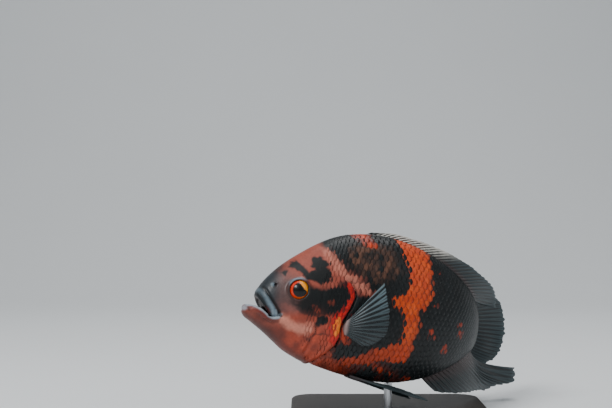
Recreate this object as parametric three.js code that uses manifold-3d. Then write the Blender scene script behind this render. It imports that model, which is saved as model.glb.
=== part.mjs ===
// A life-size oscar fish (Astronotus ocellatus) in a turning swim, held over a plain display stand.
// Millimetres, +Z up. The head points to -X, the fish's left side faces -Y, and the origin is the
// centre of the stand base's underside.
//
// The fish is shaped straight, in its own lengthwise frame: s runs back from the snout, l to the
// fish's left and h up. The bend of the swim is then laid into every vertex, and a group gives the
// whole fish its yaw, pitch and bank.
import * as THREE from "three";
import { mergeVertices } from "three/addons/utils/BufferGeometryUtils.js";
import Module from "manifold-3d";

const wasm = await Module();
wasm.setup();

// Driving sizes
const STANDARD_LENGTH = 220; // snout to the root of the tail fin
const PERCENT = STANDARD_LENGTH / 100; // the outlines below are in percent of that length
const GAP = 0.35; // between nodes that touch

// The pose
const BEND_START = 39.5; // percent: the head and shoulders are stiff
const BEND_TOTAL = 82; // degrees that the tail root is turned away
const BEND_POWER = 2; // the turn tightens towards the tail
const HEAD_YAW = 14;
const PITCH = 8;
const BANK = 7;

// Outlines of the straight fish, [s, value] in percent of the standard length
const BACK = [[-3.5, -4.9], [-2.7, -3.1], [-1.7, -2.3], [-0.4, -1.3], [0.3, 0.6], [1, 2.8], [2.2, 4.9],
  [4.5, 7.9], [8.5, 12], [14.6, 16.8], [20.2, 20.6], [25.6, 23.4], [31, 25.2], [38, 26.2], [44, 26.2],
  [52, 25], [60, 22.8], [70, 18.8], [80, 14], [87, 10.7], [92, 9.2], [96, 8.8], [100, 9.4]];
const BELLY = [[-3.5, -5.7], [-2.6, -6.9], [-0.5, -8.2], [4.3, -11.3], [8, -14], [12, -16.8], [19.5, -20],
  [26.9, -22], [33, -23.3], [40, -24], [50, -23.8], [58, -22.4], [64, -20.6], [72, -17.2], [80, -13.4],
  [87, -10.3], [92, -9], [96, -8.7], [100, -9.3]];
const HALF_WIDTH = [[-3.5, 1.2], [-2.6, 3], [-1, 4.4], [2, 5.6], [6, 6.8], [12, 8.3], [18, 9.6], [25, 10.7],
  [32, 11.1], [40, 10.8], [50, 9.9], [60, 8.4], [70, 6.5], [80, 4.6], [90, 3], [96, 2.3], [100, 1.9]];
const WIDEST_AT = [[-3.5, 0.5], [12, 0.42], [30, 0.44], [60, 0.5], [100, 0.5]]; // share of the height

// Head landmarks, [s, h] in percent
const EYE = { s: 13.6, h: 3.4, radius: 8.6, proud: 3.3 }; // radius and proud in mm
const NOSTRIL = { s: 5.8, h: 4.4, radius: 1.5 };
const MOUTH_CORNER = [9.8, -7.4];
const GAPE_END = [5.2, -6]; // the lips part ahead of this point
const UPPER_GAPE = [1.2, 0.6];
const LOWER_GAPE = [-2.2, -3.2];
const LIP_RADIUS = 2.9;
const SHOULDER_STEP = 1.3; // mm that the gill cover stands out over the shoulder
const SHOULDER_FADE = [31, 44]; // percent: there the step has run out
const GILL_OPENING = [[30, 60], [27.2, 12], [28.6, 9], [30.6, 7.4], [31.8, 5.2], [32, 3], [31.3, 0.6],
  [29.8, -2.4], [28.6, -5], [28, -7.6], [28.2, -10.4], [27.2, -13.4], [24.4, -16.6], [20.4, -20.4],
  [19, -24], [19, -60]];
const COVER_FRONT = [[18, -16.6], [19.2, -13.6], [20.2, -9.6], [20.8, -5], [21, 0], [21.4, 4], [23.4, 6.8],
  [27, 8]]; // the crease ahead of the gill cover
const COVER_DEPTH = 3.2; // mm
const JAW_CUT = [[9.8, -7.4], [13, -9.4], [14.8, -12.6], [15.6, -40]];
const TAIL_STALK = [90.5, 100]; // percent

const toRadians = THREE.MathUtils.degToRad;
const mix = THREE.MathUtils.lerp;
const clamp = THREE.MathUtils.clamp;

// A smooth curve through [x, y] points that doesn't overshoot between them.
function through(points, x) {
  const last = points.length - 1;
  if (x <= points[0][0]) return points[0][1];
  if (x >= points[last][0]) return points[last][1];
  const slope = (i) => (points[i + 1][1] - points[i][1]) / (points[i + 1][0] - points[i][0]);
  const tangent = (i) => {
    if (i === 0) return slope(0);
    if (i === last) return slope(last - 1);
    const [a, b] = [slope(i - 1), slope(i)];
    return a * b <= 0 ? 0 : (2 * a * b) / (a + b);
  };
  let i = 0;
  while (x > points[i + 1][0]) i += 1;
  const width = points[i + 1][0] - points[i][0];
  const t = (x - points[i][0]) / width;
  return (
    points[i][1] * (1 + 2 * t) * (1 - t) ** 2 +
    width * tangent(i) * t * (1 - t) ** 2 +
    points[i + 1][1] * t * t * (3 - 2 * t) +
    width * tangent(i + 1) * t * t * (t - 1)
  );
}

// The body's cross-section at s, all in millimetres.
function section(s) {
  const at = s / PERCENT;
  const top = through(BACK, at) * PERCENT;
  const bottom = through(BELLY, at) * PERCENT;
  return {
    top,
    bottom,
    width: through(HALF_WIDTH, at) * PERCENT,
    middle: mix(bottom, top, through(WIDEST_AT, at)),
  };
}

// Half-width of the body at s and h.
function flank(s, h) {
  const { top, bottom, width, middle } = section(s);
  const rise = h > middle ? (h - middle) / (top - middle) : (middle - h) / (middle - bottom);
  return width * Math.sqrt(Math.max(0, 1 - rise * rise));
}

// Height of the body's back (side 1) or belly (side -1) at s and l.
function ridge(s, l, side) {
  const { top, bottom, width, middle } = section(s);
  const edge = side > 0 ? top : bottom;
  return middle + (edge - middle) * Math.sqrt(Math.max(0, 1 - (l / width) ** 2));
}

// Bend of the midline: its direction at s, in radians, and its path in millimetres.
function turn(s) {
  const start = BEND_START * PERCENT;
  const along = clamp((s - start) / (STANDARD_LENGTH - start), 0, 1);
  return toRadians(BEND_TOTAL * along ** BEND_POWER);
}
const PATH_STEP = 1;
const PATH_START = -40;
const path = [[PATH_START, 0]];
for (let s = PATH_START; s < 1.4 * STANDARD_LENGTH; s += PATH_STEP) {
  const [x, y] = path[path.length - 1];
  const direction = turn(s + PATH_STEP / 2);
  path.push([x + PATH_STEP * Math.cos(direction), y + PATH_STEP * Math.sin(direction)]);
}

// Lays a point of the straight fish, [s, l, h], into the bent one.
function swim([s, l, h]) {
  const place = (s - PATH_START) / PATH_STEP;
  const i = clamp(Math.floor(place), 0, path.length - 2);
  const t = place - i;
  const direction = turn(s);
  return new THREE.Vector3(
    mix(path[i][0], path[i + 1][0], t) + l * Math.sin(direction),
    mix(path[i][1], path[i + 1][1], t) - l * Math.cos(direction),
    h,
  );
}

// Geometry from points and triangles, with its faces turned outwards.
function geometryOf(points, triangles) {
  const flat = points.flatMap((p) => (Array.isArray(p) ? p : [p.x, p.y, p.z]));
  let volume = 0;
  for (const [a, b, c] of triangles) {
    const [p, q, r] = [a, b, c].map((i) => new THREE.Vector3().fromArray(flat, 3 * i));
    volume += p.dot(q.cross(r)) / 6;
  }
  const turned = volume < 0 ? triangles.map(([a, b, c]) => [a, c, b]) : triangles;
  const geometry = new THREE.BufferGeometry();
  geometry.setAttribute("position", new THREE.Float32BufferAttribute(flat, 3));
  geometry.setIndex(turned.flat());
  return geometry;
}

function solidFrom(geometry) {
  const bare = geometry.clone();
  bare.deleteAttribute("normal");
  bare.deleteAttribute("uv");
  const merged = mergeVertices(bare, 1e-4);
  return new wasm.Manifold(
    new wasm.Mesh({
      numProp: 3,
      vertProperties: merged.attributes.position.array,
      triVerts: new Uint32Array(merged.index.array),
    }),
  );
}

// The largest closed piece of a solid.
function largest(solid) {
  const pieces = solid.decompose();
  return pieces.reduce((a, b) => (b.volume() > a.volume() ? b : a));
}

// The solid's geometry, with a function laid over each vertex if one is given.
function geometryFrom(solid, place) {
  const { vertProperties, triVerts, numProp, numVert } = solid.getMesh();
  const points = [];
  for (let i = 0; i < numVert; i += 1) {
    const point = Array.from(vertProperties.subarray(i * numProp, i * numProp + 3));
    points.push(place ? place(point) : point);
  }
  const triangles = [];
  for (let i = 0; i < triVerts.length; i += 3) triangles.push(Array.from(triVerts.subarray(i, i + 3)));
  return geometryOf(points, triangles);
}

// A closed skin over rings of points, each ring capped round its centre at the two ends.
function loft(rings) {
  const around = rings[0].length;
  const points = rings.flat();
  const triangles = [];
  for (let i = 0; i + 1 < rings.length; i += 1) {
    for (let j = 0; j < around; j += 1) {
      const [a, b] = [i * around + j, i * around + ((j + 1) % around)];
      triangles.push([a, b, b + around], [a, b + around, a + around]);
    }
  }
  [0, rings.length - 1].forEach((end) => {
    const centre = [0, 1, 2].map((k) => rings[end].reduce((sum, p) => sum + p[k], 0) / around);
    points.push(centre);
    for (let j = 0; j < around; j += 1) {
      const [a, b] = [end * around + j, end * around + ((j + 1) % around)];
      triangles.push(end ? [a, b, points.length - 1] : [b, a, points.length - 1]);
    }
  });
  return solidFrom(geometryOf(points, triangles));
}

// A stretch of the straight body between two places along it, thinned or thickened all round.
function bodyStretch(from, to, stations, around, spare = 0) {
  const rings = [];
  for (let i = 0; i <= stations; i += 1) {
    const s = mix(from, to, i / stations);
    const { top, bottom, width, middle } = section(s);
    const extra = typeof spare === "function" ? spare(s) : spare;
    const ring = [];
    for (let j = 0; j < around; j += 1) {
      const angle = (2 * Math.PI * (j + 0.5)) / around;
      const up = Math.sin(angle);
      const reach = up > 0 ? top - middle : middle - bottom;
      ring.push([s, (width + extra) * Math.cos(angle), middle + (reach + extra) * up]);
    }
    rings.push(ring);
  }
  return loft(rings);
}

// A flat outline in s and h, in percent, extruded from l = from to l = to.
function prism(outline, from, to) {
  const shape = new THREE.Shape(outline.map(([s, h]) => new THREE.Vector2(s * PERCENT, h * PERCENT)));
  const geometry = new THREE.ExtrudeGeometry(shape, { depth: to - from, bevelEnabled: false });
  geometry.applyMatrix4(new THREE.Matrix4().set(1, 0, 0, 0, 0, 0, 1, from, 0, 1, 0, 0, 0, 0, 0, 1));
  geometry.setIndex([...Array(geometry.attributes.position.count).keys()]);
  const { array } = geometry.attributes.position;
  const points = [];
  for (let i = 0; i < array.length; i += 3) points.push(Array.from(array.subarray(i, i + 3)));
  const triangles = points.flatMap((_, i) => (i % 3 ? [] : [[i, i + 1, i + 2]]));
  return solidFrom(geometryOf(points, triangles));
}

// An outline moved outwards by a distance in millimetres; it runs anticlockwise in s and h.
function grown(outline, distance) {
  const step = distance / PERCENT;
  const clockwise = THREE.ShapeUtils.area(outline.map(([x, y]) => new THREE.Vector2(x, y))) < 0 ? -1 : 1;
  return outline.map(([s, h], i) => {
    const [ps, ph] = outline[(i + outline.length - 1) % outline.length];
    const [ns, nh] = outline[(i + 1) % outline.length];
    const length = Math.hypot(ns - ps, nh - ph);
    return [s + (clockwise * step * (nh - ph)) / length, h - (clockwise * step * (ns - ps)) / length];
  });
}

function ball(s, l, h, radii, detail = 20) {
  const geometry = new THREE.SphereGeometry(1, detail, Math.round(detail * 0.6));
  geometry.scale(...(Array.isArray(radii) ? radii : [radii, radii, radii]));
  geometry.translate(s, l, h);
  return solidFrom(geometry);
}

// A tube of round section along a curve of the straight fish, thinner towards its two ends.
function roll(points, radius, steps, sides = 8) {
  const curve = new THREE.CatmullRomCurve3(points.map((p) => new THREE.Vector3(...p)));
  const frames = curve.computeFrenetFrames(steps);
  const rings = [];
  for (let i = 0; i <= steps; i += 1) {
    const centre = curve.getPointAt(i / steps);
    const fullness = 0.45 + 0.55 * Math.sin((Math.PI * i) / steps) ** 0.5;
    const ring = [];
    for (let j = 0; j < sides; j += 1) {
      const angle = (2 * Math.PI * j) / sides;
      const out = frames.normals[i].clone().multiplyScalar(Math.cos(angle));
      out.addScaledVector(frames.binormals[i], Math.sin(angle));
      ring.push(centre.clone().addScaledVector(out, radius * fullness).toArray());
    }
    rings.push(ring);
  }
  return loft(rings);
}

const BODY_SIDES = 28;
const REACH = 80; // mm, past the body on either side

// Where the lips run: from one mouth corner round the front to the other.
function lipLine(front, bow) {
  const [cornerS, cornerH] = MOUTH_CORNER;
  const steps = [-1, -0.8, -0.6, -0.4, -0.2, 0, 0.2, 0.4, 0.6, 0.8, 1];
  return steps.map((t) => {
    const forward = Math.cos((Math.PI / 2) * Math.abs(t)) ** 0.9;
    const s = mix(cornerS, front[0], forward) * PERCENT;
    const h = (mix(cornerH, front[1], forward) + bow * Math.sin(Math.PI * forward)) * PERCENT;
    const share = 0.95 * Math.sin((Math.PI / 2) * clamp(Math.abs(t) / 0.6, 0, 1)) ** 0.8;
    return [s, Math.sign(t) * share * flank(s, h), h];
  });
}

const wholeHead = bodyStretch(-3.4 * PERCENT, 36 * PERCENT, 22, BODY_SIDES);
const headRegion = [[-20, 60], ...GILL_OPENING, [-20, -60]];
const beyond = (front) => [mix(GAPE_END[0], front[0], 3), mix(GAPE_END[1], front[1], 3)];
const mouthWedge = prism([GAPE_END, beyond(UPPER_GAPE), beyond(LOWER_GAPE)], -REACH, REACH);
const mouthHollow = ball(7.4 * PERCENT, 0, -5 * PERCENT, [15, 8.5, 6], 12);
const jawRegion = [GAPE_END, MOUTH_CORNER, ...JAW_CUT.slice(1), [-30, -40], beyond(UPPER_GAPE)];
const upperLip = roll(lipLine([UPPER_GAPE[0] + 0.5, UPPER_GAPE[1] + 1.2], 0.9), LIP_RADIUS, 14);
const lowerLip = roll(lipLine([LOWER_GAPE[0] + 1.2, LOWER_GAPE[1] - 1.2], 0), LIP_RADIUS, 14);

function eyeCentre(side) {
  const [s, h] = [EYE.s * PERCENT, EYE.h * PERCENT];
  return [s, side * (flank(s, h) + EYE.proud - EYE.radius), h];
}

// The rim of skin that stands round the eye.
function eyeRim(side) {
  const [s, l, h] = eyeCentre(side);
  const ring = new THREE.TorusGeometry(EYE.radius * 0.98, 1.5, 6, 18);
  ring.rotateX(Math.PI / 2);
  ring.translate(s, l + side * EYE.radius * 0.42, h);
  return solidFrom(ring);
}

// The plate's outline: the crease ahead of it, and the edge of the gill opening behind it.
const coverEdge = GILL_OPENING.slice(3, 13);
const coverOutline = [...COVER_FRONT, ...coverEdge];

function gillCover(side, spare = 0) {
  const inner = flank(25 * PERCENT, -3 * PERCENT) - COVER_DEPTH - 2 * spare;
  const outline = spare ? grown(coverOutline, 2 * spare) : coverOutline;
  return prism(outline, Math.min(side * inner, side * REACH), Math.max(side * inner, side * REACH));
}

function buildHead() {
  let head = wholeHead.intersect(prism(headRegion, -REACH, REACH));
  head = head.subtract(prism(jawRegion, -REACH, REACH)).subtract(mouthWedge).subtract(mouthHollow);
  const lip = upperLip.subtract(prism(jawRegion, -REACH, REACH));
  head = head.add(largest(lip));
  for (const side of [1, -1]) {
    head = head.add(eyeRim(side));
    head = head.subtract(ball(...eyeCentre(side), EYE.radius + GAP, 16));
    const [s, h] = [NOSTRIL.s * PERCENT, NOSTRIL.h * PERCENT];
    head = head.subtract(ball(s, side * flank(s, h), h, NOSTRIL.radius, 8));
    head = head.subtract(gillCover(side, GAP / 2));
  }
  return largest(head);
}

function buildJaw() {
  const inset = grown(jawRegion, -GAP);
  let jaw = wholeHead.intersect(prism(inset, -REACH, REACH)).subtract(mouthWedge).subtract(mouthHollow);
  jaw = jaw.add(lowerLip.intersect(prism(inset, -REACH, REACH)));
  return largest(jaw);
}

function buildTrunk() {
  const [full, none] = SHOULDER_FADE;
  const slimmer = (s) => -SHOULDER_STEP * (1 - THREE.MathUtils.smoothstep(s / PERCENT, full, none));
  const stretch = bodyStretch(14 * PERCENT, TAIL_STALK[0] * PERCENT, 34, BODY_SIDES, slimmer);
  return largest(stretch.subtract(prism(grown(headRegion, GAP), -REACH, REACH)));
}

function buildTailStalk() {
  return bodyStretch(TAIL_STALK[0] * PERCENT + GAP, TAIL_STALK[1] * PERCENT, 4, 20);
}

// A fin: rays with webs between them, as one closed sheet. spec.ray(u) gives a ray's root, its
// way, its length and its girth; u runs from 0 at the first ray to 1 at the last.
function fin(spec) {
  const columns = 2 * (spec.rays - 1) + 1;
  const front = [];
  const back = [];
  for (let i = 0; i < columns; i += 1) {
    const onRay = i % 2 === 0;
    const ray = spec.ray(i / (columns - 1));
    const frontColumn = [];
    const backColumn = [];
    for (let j = 0; j <= spec.rows; j += 1) {
      const v = j / spec.rows;
      const centre = spec.place(ray, v * (onRay ? 1 : spec.notch));
      const full = onRay ? mix(spec.rayGirth[0], spec.rayGirth[1], v) : mix(spec.web[0], spec.web[1], v);
      const across = spec.across(ray, v).map((c) => (c * full) / 2);
      frontColumn.push(centre.map((c, k) => c + across[k]));
      backColumn.push(centre.map((c, k) => c - across[k]));
    }
    if (spec.seat) [frontColumn, backColumn].forEach((column) => spec.seat(column[0]));
    front.push(frontColumn);
    back.push(backColumn);
  }
  const rows = spec.rows + 1;
  const count = columns * rows;
  const points = [...front.flat(), ...back.flat()];
  const at = (face, i, j) => face * count + i * rows + j;
  const triangles = [];
  for (let i = 0; i + 1 < columns; i += 1) {
    for (let j = 0; j + 1 < rows; j += 1) {
      for (const [face, flip] of [[0, false], [1, true]]) {
        const [a, b] = [at(face, i, j), at(face, i + 1, j)];
        const [c, d] = [at(face, i + 1, j + 1), at(face, i, j + 1)];
        triangles.push(flip ? [a, c, b] : [a, b, c], flip ? [a, d, c] : [a, c, d]);
      }
    }
    for (const [j, flip] of [[0, true], [rows - 1, false]]) {
      const [a, b, c, d] = [at(0, i, j), at(0, i + 1, j), at(1, i + 1, j), at(1, i, j)];
      triangles.push(flip ? [a, c, b] : [a, b, c], flip ? [a, d, c] : [a, c, d]);
    }
  }
  for (let j = 0; j + 1 < rows; j += 1) {
    for (const [i, flip] of [[0, false], [columns - 1, true]]) {
      const [a, b, c, d] = [at(0, i, j), at(0, i, j + 1), at(1, i, j + 1), at(1, i, j)];
      triangles.push(flip ? [a, c, b] : [a, b, c], flip ? [a, d, c] : [a, c, d]);
    }
  }
  return { points, triangles };
}

const finGeometry = ({ points, triangles }) => geometryOf(points.map(swim), triangles);

// A fin ray that starts straight and curls evenly aside: how far it goes on, and aside.
function curl(length, degrees, v) {
  const angle = Math.max(toRadians(degrees), 1e-3);
  return [(length * Math.sin(angle * v)) / angle, (length * (1 - Math.cos(angle * v))) / angle];
}

// Spread of a fin's rays, [share along the root, value]: lengths in percent, lean in degrees
// away from the line of the back or belly, and aside, the degrees that a ray curls to the left.
const DORSAL = {
  root: [37.5, 91.5],
  rays: 33,
  length: [[0, 1.5], [0.1, 3], [0.3, 6], [0.46, 8.5], [0.6, 10], [0.75, 12.8], [0.88, 17], [1, 18]],
  lean: [[0, 30], [0.3, 28], [0.5, 34], [0.62, 38], [0.8, 36], [0.92, 24], [1, 8]],
  aside: [[0, 0], [0.4, 4], [0.55, 18], [0.75, 48], [0.9, 70], [1, 84]],
};
const ANAL = {
  root: [63, 91],
  rays: 18,
  length: [[0, 7], [0.15, 12], [0.4, 20], [0.7, 33], [0.88, 38], [1, 31]],
  lean: [[0, 58], [0.3, 52], [0.7, 46], [0.9, 37], [1, 26]],
  aside: [[0, 0], [0.4, 14], [0.7, 54], [1, 104]],
};

// Dorsal (side 1) or anal (side -1) fin, rooted on the midline.
function midlineFin(size, side) {
  const rootAt = (u) => mix(size.root[0], size.root[1], u) * PERCENT;
  return fin({
    rays: size.rays,
    rows: 5,
    notch: 0.955,
    rayGirth: [2.4, 0.6],
    web: [1.2, 0.4],
    ray: (u) => ({ u, s: rootAt(u) }),
    place: ({ u, s }, v) => {
      const rise = 0.6;
      const slope = Math.atan2(ridge(s + rise, 0, side) - ridge(s - rise, 0, side), 2 * rise);
      const lean = side * toRadians(through(size.lean, u)) + slope;
      const [reach, aside] = curl(through(size.length, u) * PERCENT, through(size.aside, u), v);
      const droop = 1 - 0.12 * v;
      const h = ridge(s, 0, side) + side * GAP + reach * Math.sin(lean * droop);
      return [s + reach * Math.cos(lean * droop), aside, h];
    },
    across: () => [0, 1, 0],
    seat: (point) => {
      point[2] = ridge(point[0], point[1], side) + side * GAP;
    },
  });
}

const CAUDAL = {
  rays: 21,
  spread: 19,
  length: [[0, 12], [0.1, 17], [0.25, 24], [0.5, 28.5], [0.8, 24.5], [1, 15]],
  aside: 98,
};
function caudalFin() {
  const root = TAIL_STALK[1] * PERCENT + GAP;
  const { top, bottom } = section(root);
  return fin({
    rays: CAUDAL.rays,
    rows: 6,
    notch: 0.975,
    rayGirth: [2.2, 0.6],
    web: [1.4, 0.4],
    ray: (u) => ({ u, h: mix(bottom + 0.4, top - 0.4, u) }),
    place: ({ u, h }, v) => {
      const fan = toRadians(CAUDAL.spread) * (2 * u - 1);
      const length = through(CAUDAL.length, u) * PERCENT;
      const [reach, aside] = curl(length, CAUDAL.aside, v);
      return [root + reach * Math.cos(fan), aside, h + length * v * Math.sin(fan)];
    },
    across: () => [0, 1, 0],
  });
}

const PECTORAL = {
  s: 30,
  h: [-5.6, -9.2],
  rays: 13,
  length: [[0, 18.5], [0.2, 16.5], [0.4, 15.5], [0.6, 14.5], [0.8, 11.5], [1, 7]],
  up: [[0, 52], [0.5, 12], [1, -30]],
  out: 34,
};
function pectoralFin(side) {
  return fin({
    rays: PECTORAL.rays,
    rows: 5,
    notch: 0.975,
    rayGirth: [1.7, 0.55],
    web: [1, 0.4],
    ray: (u) => ({ u, h: mix(PECTORAL.h[0], PECTORAL.h[1], u) * PERCENT }),
    place: ({ u, h }, v) => {
      const s = PECTORAL.s * PERCENT + 2.4 * Math.sin(Math.PI * u);
      const reach = through(PECTORAL.length, u) * PERCENT * v;
      const up = toRadians(through(PECTORAL.up, u));
      const out = toRadians(PECTORAL.out) * (1 - 0.55 * v);
      const level = reach * Math.cos(up);
      const stand = flank(s, h) - SHOULDER_STEP + 2 * GAP + level * Math.sin(out);
      return [s + level * Math.cos(out), side * stand, h + reach * Math.sin(up)];
    },
    across: (_, v) => {
      const lying = clamp(v * 4, 0, 1);
      const out = toRadians(PECTORAL.out) * lying;
      return [Math.cos(Math.PI / 2 - out) * -lying + (1 - lying), side * lying * Math.cos(out), 0];
    },
    seat: (point) => {
      point[1] = side * (flank(point[0], point[2]) - SHOULDER_STEP + 2 * GAP);
    },
  });
}

const PELVIC = {
  s: [35.5, 39],
  l: 3.1,
  rays: 6,
  length: [[0, 22], [0.2, 27], [0.6, 20], [1, 12]],
  down: [[0, 13], [1, 5]],
  out: [[0, 16], [1, 5]],
};
function pelvicFin(side) {
  return fin({
    rays: PELVIC.rays,
    rows: 5,
    notch: 0.96,
    rayGirth: [2, 0.6],
    web: [1.1, 0.4],
    ray: (u) => ({
      u,
      s: mix(PELVIC.s[0], PELVIC.s[1], u) * PERCENT,
      l: mix(PELVIC.l, PELVIC.l - 1.4, u) * PERCENT,
    }),
    place: ({ u, s, l }, v) => {
      const reach = through(PELVIC.length, u) * PERCENT * v;
      const down = toRadians(through(PELVIC.down, u));
      const out = toRadians(through(PELVIC.out, u)) * (1 - 0.5 * v);
      const level = reach * Math.cos(down);
      const h = ridge(s, l, -1) - GAP - reach * Math.sin(down);
      return [s + level * Math.cos(out), side * (l + level * Math.sin(out)), h];
    },
    across: (_, v) => [0, side * 0.92, side * 0.1 * v],
    seat: (point) => {
      point[2] = ridge(point[0], point[1], -1) - GAP;
    },
  });
}

// Finishes, seen in the photograph
const finish = (color, roughness, metalness = 0) =>
  new THREE.MeshStandardMaterial({ color, roughness, metalness });
const skin = finish(0x2a2526, 0.5);
const flushed = finish(0xa8452c, 0.5);
const web = finish(0x2f3b3f, 0.5);
const eyeball = finish(0xd9540e, 0.12);
const wood = finish(0x1b1a1a, 0.4);
const steel = finish(0x8e9296, 0.3, 1);

const named = (name, geometry, material) => {
  const mesh = new THREE.Mesh(geometry, material);
  mesh.name = name;
  return mesh;
};

const fish = new THREE.Group();
const flesh = { head: buildHead(), lower_jaw: buildJaw(), trunk: buildTrunk(), tail_stalk: buildTailStalk() };
for (const [name, solid] of Object.entries(flesh)) {
  fish.add(named(name, geometryFrom(solid, swim), name === "lower_jaw" ? flushed : skin));
}
for (const [word, side] of [["left", 1], ["right", -1]]) {
  const cover = largest(wholeHead.intersect(gillCover(side)));
  fish.add(named("gill_cover_" + word, geometryFrom(cover, swim), flushed));
  fish.add(named("eye_" + word, geometryFrom(ball(...eyeCentre(side), EYE.radius, 16), swim), eyeball));
  fish.add(named("pectoral_fin_" + word, finGeometry(pectoralFin(side)), web));
  fish.add(named("pelvic_fin_" + word, finGeometry(pelvicFin(side)), web));
}
fish.add(named("dorsal_fin", finGeometry(midlineFin(DORSAL, 1)), web));
fish.add(named("anal_fin", finGeometry(midlineFin(ANAL, -1)), web));
fish.add(named("caudal_fin", finGeometry(caudalFin()), web));

// The fish's place over the stand: its middle stands over the base
const RISE = 97; // mm from the floor to the snout's level
fish.rotation.order = "ZYX";
fish.rotation.set(-toRadians(BANK), toRadians(PITCH), toRadians(HEAD_YAW));
fish.position.set(-102, -38, RISE);
fish.updateMatrixWorld(true);

// The stand: a flat base and a rod up to the belly
const BASE = { length: 150, depth: 104, height: 10, corner: 16, bevel: 1.2 };
const ROD = { radius: 3, s: 50 }; // s in percent

function standBase() {
  const { length, depth, height, corner, bevel } = BASE;
  const [x, y] = [length / 2 - bevel, depth / 2 - bevel];
  const outline = new THREE.Shape();
  outline.moveTo(-x + corner, -y);
  outline.lineTo(x - corner, -y);
  outline.absarc(x - corner, -y + corner, corner, -Math.PI / 2, 0);
  outline.absarc(x - corner, y - corner, corner, 0, Math.PI / 2);
  outline.absarc(-x + corner, y - corner, corner, Math.PI / 2, Math.PI);
  outline.absarc(-x + corner, -y + corner, corner, Math.PI, 1.5 * Math.PI);
  const geometry = new THREE.ExtrudeGeometry(outline, {
    depth: height - 2 * bevel,
    bevelEnabled: true,
    bevelThickness: bevel,
    bevelSize: bevel,
    bevelSegments: 1,
    curveSegments: 5,
  });
  geometry.translate(0, 0, bevel);
  return geometry;
}

function standRod() {
  const s = ROD.s * PERCENT;
  const belly = swim([s, 0, ridge(s, 0, -1)]).applyMatrix4(fish.matrixWorld);
  const top = belly.z + 12;
  const bottom = BASE.height + GAP;
  const rod = new THREE.CylinderGeometry(ROD.radius, ROD.radius, top - bottom, 16);
  rod.rotateX(Math.PI / 2);
  rod.translate(belly.x, belly.y, (top + bottom) / 2);
  const clearance = bodyStretch(s - 12 * PERCENT, s + 12 * PERCENT, 12, BODY_SIDES, GAP);
  const placed = geometryFrom(clearance, (p) => swim(p).applyMatrix4(fish.matrixWorld));
  const cut = solidFrom(rod).subtract(solidFrom(placed));
  const pieces = cut.decompose().sort((a, b) => a.boundingBox().min[2] - b.boundingBox().min[2]);
  return geometryFrom(pieces[0]);
}

const model = new THREE.Group();
model.add(fish);
model.add(named("stand_base", standBase(), wood));
model.add(named("stand_rod", standRod(), steel));

export default model;
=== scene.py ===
import math
import bpy
import numpy as np
from mathutils import Matrix, Vector


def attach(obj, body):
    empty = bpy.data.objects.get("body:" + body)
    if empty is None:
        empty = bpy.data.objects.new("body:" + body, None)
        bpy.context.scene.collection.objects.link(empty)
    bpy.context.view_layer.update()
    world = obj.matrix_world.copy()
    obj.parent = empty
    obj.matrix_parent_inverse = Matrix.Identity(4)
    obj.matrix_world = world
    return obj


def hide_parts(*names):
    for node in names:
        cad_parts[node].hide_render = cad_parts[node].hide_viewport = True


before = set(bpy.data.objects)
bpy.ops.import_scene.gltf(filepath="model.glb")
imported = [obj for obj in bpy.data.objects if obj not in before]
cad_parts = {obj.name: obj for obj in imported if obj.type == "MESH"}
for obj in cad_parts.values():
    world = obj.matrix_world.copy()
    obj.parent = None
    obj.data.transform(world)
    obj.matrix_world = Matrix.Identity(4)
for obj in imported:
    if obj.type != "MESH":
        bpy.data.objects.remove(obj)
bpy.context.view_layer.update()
bpy.ops.object.select_all(action="DESELECT")

# The view: a level camera a little above the floor, with the frame of the photograph. It stands at
# the fish's left front and has a long lens, so that the tail bends away from it.
MM = 0.001
CAMERA_PLACE = (-63.5, -838, 165)
FOCAL_PIXELS = 1088
FRAME_WIDTH = 612
SENSOR = 36
NEAREST, FURTHEST = 0.02, 30
bpy.ops.object.camera_add(location=[c * MM for c in CAMERA_PLACE], rotation=(math.pi / 2, 0, 0))
camera = bpy.context.object
camera.data.sensor_width = SENSOR
camera.data.lens = SENSOR * FOCAL_PIXELS / FRAME_WIDTH
camera.data.clip_start = NEAREST
camera.data.clip_end = FURTHEST
bpy.context.scene.camera = camera


# The skin is a wet hide over head, jaw, gill covers, trunk and tail stalk, with soft lips and folds.
# It is one closed surface, found where the distance from the flesh is zero and relaxed a little.
# The fish is shaped straight (s back, l left, h up, in mm) and then bent and posed.
# The outlines are those of the solids, in percent of the length from snout to tail root.
PERCENT = 2.2
LENGTH = 100 * PERCENT
BACK = [(-3.5, -4.9), (-2.7, -3.1), (-1.7, -2.3), (-0.4, -1.3), (0.3, 0.6), (1, 2.8), (2.2, 4.9),
        (4.5, 7.9), (8.5, 12), (14.6, 16.8), (20.2, 20.6), (25.6, 23.4), (31, 25.2), (38, 26.2),
        (44, 26.2), (52, 25), (60, 22.8), (70, 18.8), (80, 14), (87, 10.7), (92, 9.2), (96, 8.8),
        (100, 9.4)]
BELLY = [(-3.5, -5.7), (-2.6, -6.9), (-0.5, -8.2), (4.3, -11.3), (8, -14), (12, -16.8), (19.5, -20),
         (26.9, -22), (33, -23.3), (40, -24), (50, -23.8), (58, -22.4), (64, -20.6), (72, -17.2),
         (80, -13.4), (87, -10.3), (92, -9), (96, -8.7), (100, -9.3)]
HALF_WIDTH = [(-3.5, 1.2), (-2.6, 3), (-1, 4.4), (2, 5.6), (6, 6.8), (12, 8.3), (18, 9.6),
              (25, 10.7), (32, 11.1), (40, 10.8), (50, 9.9), (60, 8.4), (70, 6.5), (80, 4.6),
              (90, 3), (96, 2.3), (100, 1.9)]
WIDEST_AT = [(-3.5, 0.5), (12, 0.42), (30, 0.44), (60, 0.5), (100, 0.5)]
BEND_START = 39.5
BEND_TOTAL = math.radians(82)
BEND_POWER = 2
HEAD_YAW, PITCH, BANK = (math.radians(a) for a in (14, 8, 7))
SNOUT_PLACE = (-102, -38, 97)


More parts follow.
